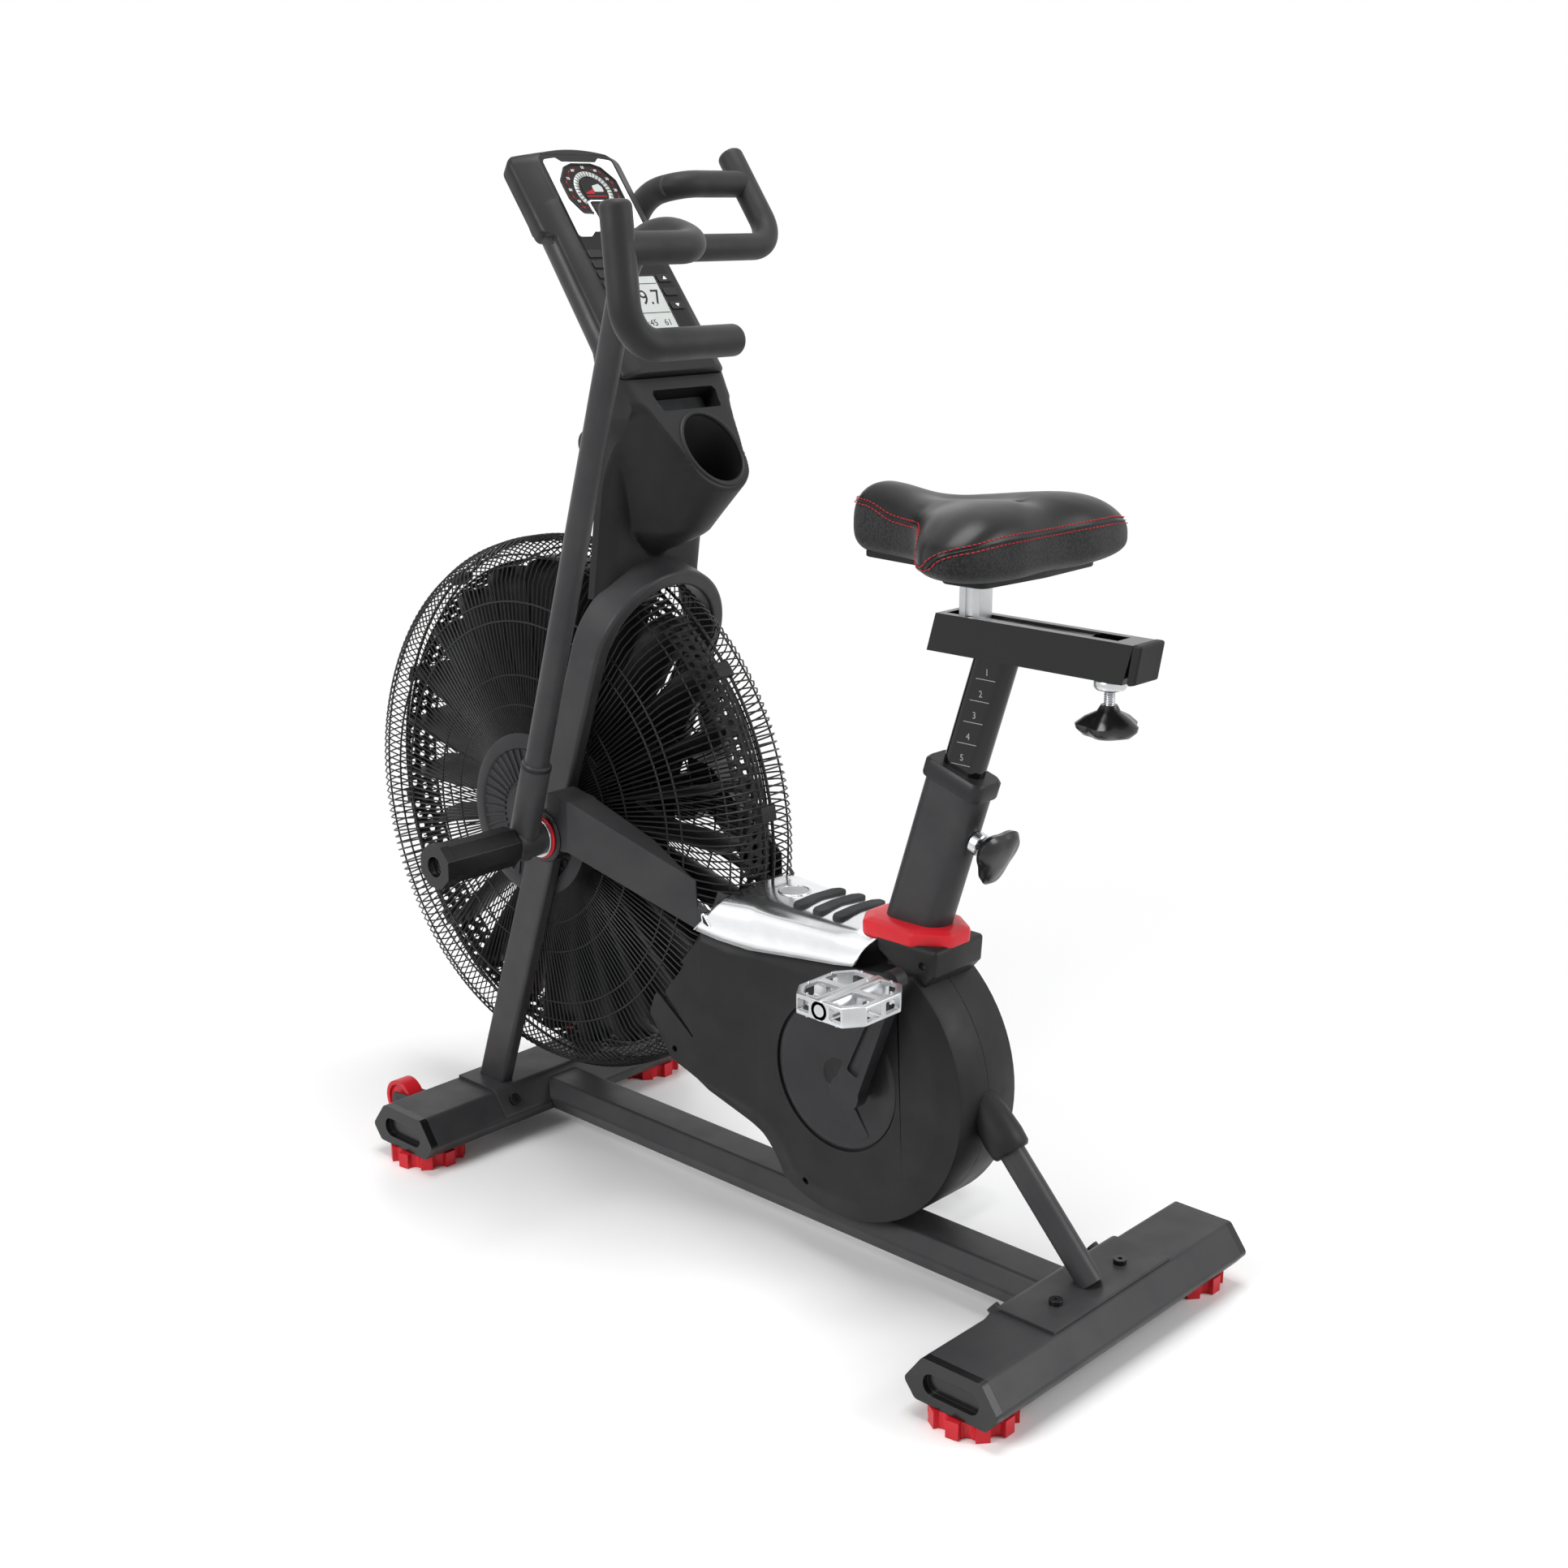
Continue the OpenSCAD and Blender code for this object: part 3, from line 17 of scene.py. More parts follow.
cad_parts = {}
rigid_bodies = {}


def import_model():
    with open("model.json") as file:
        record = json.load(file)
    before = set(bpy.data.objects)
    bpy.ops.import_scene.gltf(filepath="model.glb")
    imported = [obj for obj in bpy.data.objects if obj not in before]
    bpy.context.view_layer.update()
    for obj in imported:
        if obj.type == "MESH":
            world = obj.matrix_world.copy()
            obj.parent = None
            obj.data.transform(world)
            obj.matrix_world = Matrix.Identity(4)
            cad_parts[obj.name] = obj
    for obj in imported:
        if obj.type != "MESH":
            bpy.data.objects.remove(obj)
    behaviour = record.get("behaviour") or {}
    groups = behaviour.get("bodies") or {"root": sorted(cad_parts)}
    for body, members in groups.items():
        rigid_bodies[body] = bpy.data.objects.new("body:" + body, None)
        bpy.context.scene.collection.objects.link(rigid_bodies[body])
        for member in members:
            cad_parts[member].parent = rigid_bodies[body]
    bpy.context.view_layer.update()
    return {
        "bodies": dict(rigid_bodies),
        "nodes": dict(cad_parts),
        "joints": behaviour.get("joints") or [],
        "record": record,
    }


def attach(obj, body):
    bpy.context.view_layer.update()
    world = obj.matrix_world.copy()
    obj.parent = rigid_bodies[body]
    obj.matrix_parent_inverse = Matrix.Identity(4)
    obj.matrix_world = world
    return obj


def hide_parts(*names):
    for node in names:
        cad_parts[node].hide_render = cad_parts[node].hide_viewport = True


log = logging.getLogger("air_bike")
MM = 0.001
Shell = tuple[np.ndarray, list]
LEFT, RIGHT = -1, 1
SIDE_NAMES = {LEFT: "left", RIGHT: "right"}

# Driving places, mm.
FAN_AXIS = (-281, 0, 483)
ARM_AXIS = (-177, 0, 490)
DISC_AXIS = (250, 0, 257)
ORIGIN = (0, 0, 0)
# How near two points are before they count as one, m.
WELD = 2e-6


# ---------------------------------------------------------------- frames and curves


@dataclass(frozen=True)
class Place:
    """A frame of its own: an origin in mm and the directions of its X, Y and Z."""

    origin: tuple
    x: tuple = (1, 0, 0)
    y: tuple = (0, 1, 0)
    z: tuple = (0, 0, 1)

    def at(self, points: np.ndarray) -> np.ndarray:
        """Points of this frame, in the bike's frame: origin + a X + b Y + c Z."""
        axes = np.array([self.x, self.y, self.z], float)
        return np.asarray(points, float) @ axes + np.array(self.origin, float)


def leaned(origin: tuple, degrees: float) -> Place:
    """A frame turned about Y, so that its Z leans to the rear by some degrees.

    Args:
        origin: where it starts, mm.
        degrees: how far it leans.

    Returns:
        The frame.
    """
    c, s = math.cos(math.radians(degrees)), math.sin(math.radians(degrees))
    return Place(origin, (c, 0, -s), (0, 1, 0), (s, 0, c))


def outward(origin: tuple) -> Place:
    """A frame for outlines drawn in X and Z, whose depth grows to the left, along -Y."""
    return Place(origin, (1, 0, 0), (0, 0, 1), (0, -1, 0))


def filleted(points: list, radii: list, steps: int = 8) -> np.ndarray:
    """A line of straight runs whose corners are arcs.

    Each arc touches both runs at radius times tan of half the turn from the corner.

    Args:
        points: the corners, two ends included.
        radii: the arc radius at each corner between the ends.
        steps: pieces in an arc.

    Returns:
        The points of the line.
    """
    p = np.array(points, float)
    line = [p[:1]]
    for i, radius in enumerate(radii, 1):
        a, b = p[i - 1] - p[i], p[i + 1] - p[i]
        a, b = a / np.linalg.norm(a), b / np.linalg.norm(b)
        half = math.acos(float(np.clip(a @ b, -1, 1))) / 2
        if radius <= 0 or half > 1.56:
            line.append(p[i : i + 1])
            continue
        centre = p[i] + (a + b) / np.linalg.norm(a + b) * radius / math.sin(half)
        start, end = p[i] + a * radius / math.tan(half), p[i] + b * radius / math.tan(half)
        u, w = start - centre, end - centre
        turn = math.pi - 2 * half
        t = np.linspace(0, 1, steps + 1)[:, None]
        line.append(centre + (np.sin((1 - t) * turn) * u + np.sin(t * turn) * w) / math.sin(turn))
    line.append(p[-1:])
    return np.concatenate(line)


def rounded(outline: list, radius: float | list, steps: int = 6) -> np.ndarray:
    """A closed outline with its corners turned into arcs of a radius, one for all or a list.

    Args:
        outline: the corners.
        radius: of the arc at each corner.
        steps: pieces in an arc.

    Returns:
        The points of the outline.
    """
    n = len(outline)
    radii = [radius] * n if isinstance(radius, (int, float)) else list(radius)
    ring = list(outline) + [outline[0], outline[1]]
    line = filleted(ring, radii[1:] + radii[:1], steps)
    return line[1:-1]


def oblong(left: float, right: float, low: float, high: float) -> list:
    """The corners of an upright oblong."""
    return [(left, low), (right, low), (right, high), (left, high)]


def circle(radius: float, count: int = 48, centre: tuple = (0, 0)) -> np.ndarray:
    """A round outline."""
    a = np.linspace(0, 2 * np.pi, count, endpoint=False)
    return np.stack([centre[0] + radius * np.cos(a), centre[1] + radius * np.sin(a)], 1)


def smoothstep(t: np.ndarray) -> np.ndarray:
    """0 below 0, 1 above 1, and t squared times 3 - 2t between."""
    t = np.clip(t, 0, 1)
    return t * t * (3 - 2 * t)


# ---------------------------------------------------------------- surfaces


def quads(rows: int, columns: int, close_rows: bool, close_columns: bool) -> np.ndarray:
    """The four-cornered faces of a grid of points, numbered row by row.

    Args:
        rows: rows of points.
        columns: points in a row.
        close_rows: whether the last row meets the first.
        close_columns: whether each row is a loop.

    Returns:
        The faces, (count, 4).
    """
    i = np.arange(rows if close_rows else rows - 1)[:, None]
    j = np.arange(columns if close_columns else columns - 1)[None, :]
    i2, j2 = (i + 1) % rows, (j + 1) % columns
    corners = [i * columns + j, i * columns + j2, i2 * columns + j2, i2 * columns + j]
    return np.stack([c.ravel() for c in np.broadcast_arrays(*corners)], 1)


def grid(points: np.ndarray, close_rows: bool = False, close_columns: bool = False) -> Shell:
    """A surface through a grid of points, shaped (rows, columns, 3)."""
    faces = quads(points.shape[0], points.shape[1], close_rows, close_columns)
    return points.reshape(-1, 3), faces.tolist()


def loft(sections: np.ndarray) -> Shell:
    """A closed solid through closed sections, shaped (sections, points, 3), with flat ends.

    Args:
        sections: the points.

    Returns:
        Its points and faces.
    """
    count, around = sections.shape[:2]
    points, faces = grid(sections, False, True)
    faces.append(list(range(around)))
    faces.append(list(range((count - 1) * around, count * around)))
    return points, faces


def prism(outline: np.ndarray, low: float, high: float, place: Place) -> Shell:
    """An outline carried straight from one depth to another.

    Args:
        outline: points in the frame's X and Y.
        low: where it starts along the frame's Z.
        high: where it ends.
        place: the frame.

    Returns:
        Its points and faces.
    """
    flat = np.asarray(outline, float)
    layers = [np.column_stack([flat, np.full(len(flat), h)]) for h in (low, high)]
    return loft(np.stack([place.at(layer) for layer in layers]))


def lathe(profile: list, place: Place, count: int = 64) -> Shell:
    """A profile of (radius, height) turned about the frame's Z.

    Args:
        profile: the pairs, along the outline of the half section.
        place: the frame.
        count: points round it.

    Returns:
        Its points and faces.
    """
    rh = np.array(profile, float)
    a = np.linspace(0, 2 * np.pi, count, endpoint=False)
    r, h = rh[:, :1], np.repeat(rh[:, 1:], count, 1)
    return grid(place.at(np.stack([r * np.cos(a), r * np.sin(a), h], -1)), False, True)


def ring(radius: float, height: float, wire: float, place: Place, count: int = 120) -> Shell:
    """A round wire bent to a circle about the frame's Z.

    Args:
        radius: of the circle.
        height: of the circle along Z.
        wire: radius of the wire.
        place: the frame.
        count: points round the circle.

    Returns:
        Its points and faces.
    """
    a = np.linspace(0, 2 * np.pi, count, endpoint=False)[:, None]
    b = np.linspace(0, 2 * np.pi, 6, endpoint=False)[None, :]
    r = radius + wire * np.cos(b)
    h = np.broadcast_to(height + wire * np.sin(b), (count, 6))
    return grid(place.at(np.stack([r * np.cos(a), r * np.sin(a), h], -1)), True, True)


def tube_points(path: np.ndarray, radius: np.ndarray, sides: int, up: np.ndarray) -> np.ndarray:
    """Circles carried along paths: path + r (cos b U + sin b W), with U and W square to the path.

    Args:
        path: (..., n, 3) points.
        radius: one number, or one for each point.
        sides: points round the tube.
        up: a direction that no path runs along, one for all or one for each.

    Returns:
        (..., n, sides, 3) points.
    """
    t = np.gradient(path, axis=-2)
    t /= np.linalg.norm(t, axis=-1, keepdims=True)
    u = np.cross(t, up)
    u /= np.linalg.norm(u, axis=-1, keepdims=True)
    w = np.cross(t, u)
    b = np.linspace(0, 2 * np.pi, sides, endpoint=False)[:, None]
    r = np.asarray(radius, float)[..., None, None] if np.ndim(radius) else radius
    u, w = u[..., None, :], w[..., None, :]
    return path[..., None, :] + r * (np.cos(b) * u + np.sin(b) * w)


def tube(path: np.ndarray, radius: float, sides: int = 32, up: tuple = (0, 1, 0), dome: float = 0) -> Shell:
    """A bar along a path, whose ends are flat or rounded over a length.

    Args:
        path: the points of its middle.
        radius: of the bar.
        sides: points round it.
        up: a direction that the path never runs along.
        dome: length over which the ends are rounded.

    Returns:
        Its points and faces.
    """
    path = np.asarray(path, float)
    r = np.full(len(path), float(radius))
    if dome > 0:
        t = np.array([0.0, 0.12, 0.35, 0.65])
        shrink = radius - dome + dome * np.sqrt(1 - (1 - t) ** 2)
        for end, step in ((0, 1), (-1, -2)):
            inward = path[step] - path[end]
            inward = inward / np.linalg.norm(inward)
            cap = path[end] + np.outer(t * dome, inward)
            body = path[end] + dome * inward
            if end == 0:
                path = np.concatenate([cap, [body], path[1:]])
                r = np.concatenate([shrink, r])
            else:
                path = np.concatenate([path[:-1], [body], cap[::-1]])
                r = np.concatenate([r, shrink[::-1]])
    return loft(tube_points(path, r, sides, np.array(up, float)))


def many_tubes(paths: np.ndarray, radius: float, sides: int, up: np.ndarray) -> Shell:
    """The same short bar along each of many paths, shaped (count, n, 3).

    Args:
        paths: the points.
        radius: of a bar.
        sides: points round a bar.
        up: a direction that no path runs along, one for all or one for each.

    Returns:
        Their points and faces.
    """
    count, n = paths.shape[:2]
    points = tube_points(paths, radius, sides, up).reshape(-1, 3)
    side = quads(n, sides, False, True)
    ends = [list(range(sides)), list(range((n - 1) * sides, n * sides))]
    shift = np.arange(count)[:, None, None] * n * sides
    faces = (side[None] + shift).reshape(-1, 4).tolist()
    faces += (np.array(ends)[None] + shift).reshape(-1, sides).tolist()
    return points, faces


def mirrored(shells: list, side: int) -> list:
    """Shells drawn for the left, put on either side."""
    return [(p * np.array([1, -side, 1]), f) for p, f in shells] if side == RIGHT else shells


# ---------------------------------------------------------------- finishes


class Pattern(Enum):
    """How the small relief of a finish is laid out."""

    GRAIN = "fine pits and bumps"
    BRUSHED = "long scratches"
    LEATHER = "cells of a hide"
    MESH = "holes of a knitted cloth"


@dataclass(frozen=True)
class Finish:
    """A material: its real name, two near colours, and its relief at a real size.

    Attributes:
        name: common name and how it was made.
        light: sRGB colour of the paler spots.
        dark: sRGB colour of the darker spots.
        rough: roughness in the middle of its range.
        metallic: 1 for bare metal.
        grain: spacing of the relief, mm.
        relief: height of the relief, mm.
        coat: clear layer over it.
        sheen: soft glow of cloth.
        edge: radius that its sharp edges catch light over, mm.
        pattern: layout of the relief.
    """

    name: str
    light: str
    dark: str
    rough: float
    metallic: float = 0.0
    grain: float = 1.2
    relief: float = 0.03
    coat: float = 0.0
    sheen: float = 0.0
    edge: float = 1.0
    pattern: Pattern = Pattern.GRAIN

    def shine(self) -> float:
        """Specular level: full for metal, nearly so for gloss, and little for matt plastics."""
        return 0.5 if self.metallic else 0.42 if self.rough < 0.3 else 0.22


# Powder coat over steel: a satin charcoal with fine orange peel that softens highlights.
POWDER_COAT = Finish("powder_coated_steel", "#363637", "#2e2e30", 0.38, grain=1.6, relief=0.05, edge=1.6)
# Wet-sprayed gloss enamel: near black, with sharp highlights.
GLOSS_ENAMEL = Finish("gloss_black_enamel", "#070708", "#050506", 0.09, grain=4, relief=0.004, edge=1.2)
# Spark-eroded ABS: dark, with a matt grain that spreads the light wide.
MOULDED_ABS = Finish("moulded_abs_matt", "#1b1b1c", "#161617", 0.48, grain=0.9, relief=0.035, edge=1.2)
# The same plastic from a polished mould, for discs and caps.
SMOOTH_ABS = Finish("moulded_abs_smooth", "#262628", "#212123", 0.38, grain=2.4, relief=0.01, edge=1.0)
# The same plastic with a gloss, for pegs and knobs.
GLOSSY_ABS = Finish("moulded_abs_gloss", "#141415", "#0f0f10", 0.24, grain=3.0, relief=0.01, edge=1.2)
# Steel wire dipped in black: slight gloss along its round side.
COATED_WIRE = Finish("dipped_steel_wire", "#1b1b1c", "#151516", 0.36, grain=2.0, relief=0.01, edge=0.0)
# Pressed steel sheet, sprayed matt black: its curves show in the dark only by wide soft light.
BLACK_SHEET = Finish("sprayed_sheet_steel", "#151516", "#101011", 0.45, grain=1.4, relief=0.03, edge=0.0)
# Vacuum-metallised cover under satin lacquer: bright, slightly blurred reflections.
SATIN_SILVER = Finish("metallised_silver", "#f2f3f4", "#e6e7e9", 0.2, 1.0, grain=3.0, relief=0.006, edge=1.0)
# Tumbled cast aluminium: pale grey, with a soft blurred shine.
CAST_ALUMINIUM = Finish(
    "polished_cast_aluminium", "#c9cbcd", "#b4b6b8", 0.36, 1.0, grain=1.5, relief=0.02, edge=0.8,
)
# Turned steel with zinc plating: bright, with fine lines round it.
PLATED_STEEL = Finish(
    "zinc_plated_steel", "#d6d8da", "#c3c5c8", 0.22, 1.0, grain=0.8, relief=0.01, pattern=Pattern.BRUSHED,
)
# Red nylon for collars, wheels and levelling feet: even colour with a slight skin.
RED_NYLON = Finish(
    "moulded_red_nylon", "#c9202b", "#b81a25", 0.38, grain=1.2, relief=0.02, coat=0.15, edge=1.4,
)
# Closed-cell foam sleeve with a skin: dull, dark, faint mottling.
GRIP_FOAM = Finish("nitrile_foam", "#1f1f20", "#1a1a1b", 0.55, grain=1.1, relief=0.06, sheen=0.1, edge=0.0)
# Vinyl leather: small cells, soft gloss on the crown.
SADDLE_VINYL = Finish(
    "grained_vinyl", "#19191a", "#141415", 0.33, grain=1.5, relief=0.05, edge=0.0, pattern=Pattern.LEATHER,
)
# Knitted spacer cloth: its holes are drawn about 3 mm apart, coarser than real ones, to show.
SPACER_MESH = Finish(
    "knitted_mesh", "#232324", "#0e0e0f", 0.7, grain=2.2, relief=0.2, sheen=0.12, edge=0.0,
    pattern=Pattern.MESH,
)
# Polyester thread: dull, with a little more red than the nylon.
RED_THREAD = Finish("polyester_thread", "#b4242c", "#9a1d25", 0.6, grain=0.8, relief=0.03, edge=0.0)
# Neoprene belt and rubber pads: dull, dark grey.
RUBBER = Finish("moulded_rubber", "#2b2c2e", "#232425", 0.66, grain=0.8, relief=0.03)
# Printed and lacquered panel colours of the console: flat, even inks under a clear layer.
PANEL_SILVER = Finish(
    "lacquered_silver_print", "#eef0f2", "#e2e4e7", 0.3, grain=2.0, relief=0.008, coat=0.2, edge=0.0,
)
PANEL_BLACK = Finish("printed_black_film", "#171414", "#121011", 0.35, grain=2.0, relief=0.008, edge=0.0)
INK_WHITE = Finish("white_screen_ink", "#e4e4e4", "#dadada", 0.5, grain=1.0, relief=0.004, edge=0.0)
INK_GREY = Finish("grey_screen_ink", "#9a9a9c", "#8d8d90", 0.5, grain=1.0, relief=0.004, edge=0.0)
INK_RED = Finish("red_screen_ink", "#c5222b", "#b51c26", 0.5, grain=1.0, relief=0.004, edge=0.0)
LCD_GREY = Finish("lcd_glass", "#b9bdbb", "#aeb2b0", 0.15, grain=8.0, relief=0.002, coat=0.4, edge=0.0)

SLOT_FINISH = {
    "paint": POWDER_COAT, "gloss_paint": GLOSS_ENAMEL, "plastic": MOULDED_ABS, "wire": COATED_WIRE,
    "fan": BLACK_SHEET, "silver": SATIN_SILVER, "steel": PLATED_STEEL, "red": RED_NYLON,
    "foam": GRIP_FOAM, "leather": SADDLE_VINYL, "rubber": RUBBER,
}


def linear(code: str) -> tuple:
    """An sRGB hex colour as linear red, green, blue and 1.

    Args:
        code: a hash and six hex digits.

    Returns:
        The four values.
    """
    s = np.array([int(code[i : i + 2], 16) for i in (1, 3, 5)]) / 255
    value = np.where(s <= 0.04045, s / 12.92, ((s + 0.055) / 1.055) ** 2.4)
    return (*value.tolist(), 1.0)


def add_node(tree: bpy.types.NodeTree, kind: str, settings: dict, links: dict) -> bpy.types.Node:
    """Adds a shader node.

    Args:
        tree: the material's tree.
        kind: the node's type.
        settings: values of its properties, or of its inputs by name or number.
        links: for an input, the output socket that feeds it.

    Returns:
        The node.
    """
    node = tree.nodes.new(kind)
    for key, value in settings.items():
        if isinstance(key, int) or key in node.inputs:
            node.inputs[key].default_value = value
        else:
            setattr(node, key, value)
    for key, socket in links.items():
        tree.links.new(socket, node.inputs[key])
    return node


MADE: dict = {}


def material(finish: Finish) -> bpy.types.Material:
    """The node material of a finish, made once.

    Colour runs between the two tints with a slow noise. Roughness wanders with a second noise.
    The relief is a bump from the pattern, over edges that are rounded by a bevel normal.

    Args:
        finish: the finish.

    Returns:
        The material.
    """
    if finish.name in MADE:
        return MADE[finish.name]
    made = bpy.data.materials.new(finish.name)
    made.use_nodes = True
    tree = made.node_tree
    tree.nodes.clear()
    place = add_node(tree, "ShaderNodeTexCoord", {}, {}).outputs["Object"]
    if finish.pattern is Pattern.BRUSHED:
        place = add_node(tree, "ShaderNodeMapping", {"Scale": (1, 0.04, 1)}, {"Vector": place}).outputs[0]
    drift = {"Scale": 22.0, "Detail": 4.0}
    slow = add_node(tree, "ShaderNodeTexNoise", drift, {"Vector": place}).outputs["Fac"]
    scale = 1 / (finish.grain * MM)
    if finish.pattern in (Pattern.LEATHER, Pattern.MESH):
        cell = add_node(tree, "ShaderNodeTexVoronoi", {"Scale": scale * 0.7}, {"Vector": place})
        height = cell.outputs["Distance"]
    else:
        cell = add_node(tree, "ShaderNodeTexNoise", {"Scale": scale * 0.5, "Detail": 2.0}, {"Vector": place})
        height = cell.outputs["Fac"]
    tint_by = height if finish.pattern is Pattern.MESH else slow
    ramp = add_node(tree, "ShaderNodeMapRange", {"From Min": 0.3, "From Max": 0.7}, {"Value": tint_by})
    tint = add_node(
        tree, "ShaderNodeMix", {"data_type": "RGBA", 6: linear(finish.light), 7: linear(finish.dark)},
        {0: ramp.outputs[0]},
    )
    smooth, dull = finish.rough * 0.88, min(1, finish.rough * 1.14)
    gloss = add_node(
        tree, "ShaderNodeMapRange", {"From Min": 0.3, "From Max": 0.7, "To Min": smooth, "To Max": dull},
        {"Value": slow},
    )
    depth = {"Strength": 0.5, "Distance": finish.relief * MM}
    bump = add_node(tree, "ShaderNodeBump", depth, {"Height": height})
    if finish.edge > 0:
        soft = add_node(tree, "ShaderNodeBevel", {"samples": 4, "Radius": finish.edge * MM}, {})
        tree.links.new(soft.outputs[0], bump.inputs["Normal"])
    settings = {
        "Metallic": finish.metallic, "Coat Weight": finish.coat, "Coat Roughness": 0.08,
        "Sheen Weight": finish.sheen, "Specular IOR Level": finish.shine(),
    }
    shader = add_node(
        tree, "ShaderNodeBsdfPrincipled", settings,
        {"Base Color": tint.outputs[2], "Roughness": gloss.outputs[0], "Normal": bump.outputs[0]},
    )
    add_node(tree, "ShaderNodeOutputMaterial", {}, {"Surface": shader.outputs[0]})
    MADE[finish.name] = made
    return made


# ---------------------------------------------------------------- making a piece


def clean(mesh: bpy.types.Mesh, dissolve: bool) -> None:
    """Merges doubled points, drops faces without area if asked, and turns the rest outwards.

    Args:
        mesh: the mesh.
        dissolve: whether to drop those faces.
    """
    made = bmesh.new()
    made.from_mesh(mesh)
    bmesh.ops.remove_doubles(made, verts=made.verts, dist=WELD)
    if dissolve:
        bmesh.ops.dissolve_degenerate(made, dist=WELD / 2, edges=made.edges)
    bmesh.ops.recalc_face_normals(made, faces=made.faces)
    made.to_mesh(mesh)
    made.free()


def piece(
    name: str, shells: list, finish: Finish, body: str, slot: str,
    bevel: float = 0.0, sharp: float = 35.0, replaces: tuple = (), thick: float = 0.0,
) -> bpy.types.Object:
    """Joins shells into one named object that rides on a body.

    Doubled points are merged, faces turned outwards, and edges sharper than an angle kept crisp.

    Args:
        name: the piece's name.
        shells: points in mm with their faces.
        finish: its material.
        body: the CAD body it moves with.
        slot: the record's material slot; not used.
        bevel: width of a rounded edge, mm.
        sharp: angle in degrees past which an edge shows.
        replaces: CAD nodes that it stands for.
        thick: wall given to an open sheet, mm.

    Returns:
        The object.
    """
    points, faces, count = [], [], 0
    for p, f in shells:
        points.append(p)
        faces += [[i + count for i in face] for face in f]
        count += len(p)
    mesh = bpy.data.meshes.new(name)
    mesh.from_pydata((np.concatenate(points) * MM).tolist(), [], faces)
    mesh.validate()
    clean(mesh, True)
    mesh.shade_smooth()
    mesh.set_sharp_from_angle(angle=math.radians(sharp))
    mesh.materials.append(material(finish))
    thing = bpy.data.objects.new(name, mesh)
    bpy.context.scene.collection.objects.link(thing)
    if thick > 0:
        wall = thing.modifiers.new("wall", "SOLIDIFY")
        wall.thickness, wall.offset = thick * MM, 0
    if bevel > 0:
        soft = thing.modifiers.new("soft_edges", "BEVEL")
        soft.width, soft.segments, soft.limit_method = bevel * MM, 3, "ANGLE"
        soft.angle_limit = math.radians(sharp)
        soft.harden_normals = True
    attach(thing, body)
    if replaces:
        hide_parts(*replaces)
    log.info("%s: %d faces on %s", name, len(mesh.polygons), body)
    return thing


def carve(thing: bpy.types.Object, shells: list) -> None:
    """Cuts closed shells out of a piece one after another, and applies its modifiers with the cuts.

    Args:
        thing: the piece, whose mesh is replaced.
        shells: the cutters, points in mm with their faces.
    """
    cutters = []
    for points, faces in shells:
        mesh = bpy.data.meshes.new("cutter")
        mesh.from_pydata((np.asarray(points) * MM).tolist(), [], [list(face) for face in faces])
        clean(mesh, False)
        cutter = bpy.data.objects.new("cutter", mesh)
        bpy.context.scene.collection.objects.link(cutter)
        cutters.append(cutter)
        # One cut for each shell: shells that overlap in one cutter would undo each other.
        cut = thing.modifiers.new("cut", "BOOLEAN")
        cut.operation, cut.solver, cut.object = "DIFFERENCE", "MANIFOLD", cutter
    bpy.context.view_layer.update()
    ready = bpy.data.meshes.new_from_object(thing.evaluated_get(bpy.context.evaluated_depsgraph_get()))
    thing.modifiers.clear()
    thing.data = ready
    ready.shade_smooth()
    ready.set_sharp_from_angle(angle=math.radians(32))
    for cutter in cutters:
        bpy.data.objects.remove(cutter)


def lettering(name: str, words: list, finish: Finish, body: str, slot: str) -> bpy.types.Object:
    """Flat figures on a surface, one mesh.

    Args:
        name: the piece's name.
        words: (text, height in mm, Place whose X reads and whose Z faces out).
        finish: ink.
        body: the body under them.
        slot: the record's material slot.

    Returns:
        The object.
    """
    shells = []
    for text, size, place in words:
        curve = bpy.data.curves.new("word", "FONT")
        curve.body, curve.size = text, size
        curve.align_x, curve.align_y, curve.extrude = "CENTER", "CENTER", 0.12
        curve.resolution_u = 3
        holder = bpy.data.objects.new("word", curve)
        mesh = bpy.data.meshes.new_from_object(holder)
        points = np.zeros(len(mesh.vertices) * 3)
        mesh.vertices.foreach_get("co", points)
        shells.append((place.at(points.reshape(-1, 3)), [list(f.vertices) for f in mesh.polygons]))
        bpy.data.objects.remove(holder)
        bpy.data.meshes.remove(mesh)
    return piece(name, shells, finish, body, slot)


# ---------------------------------------------------------------- fan and cage


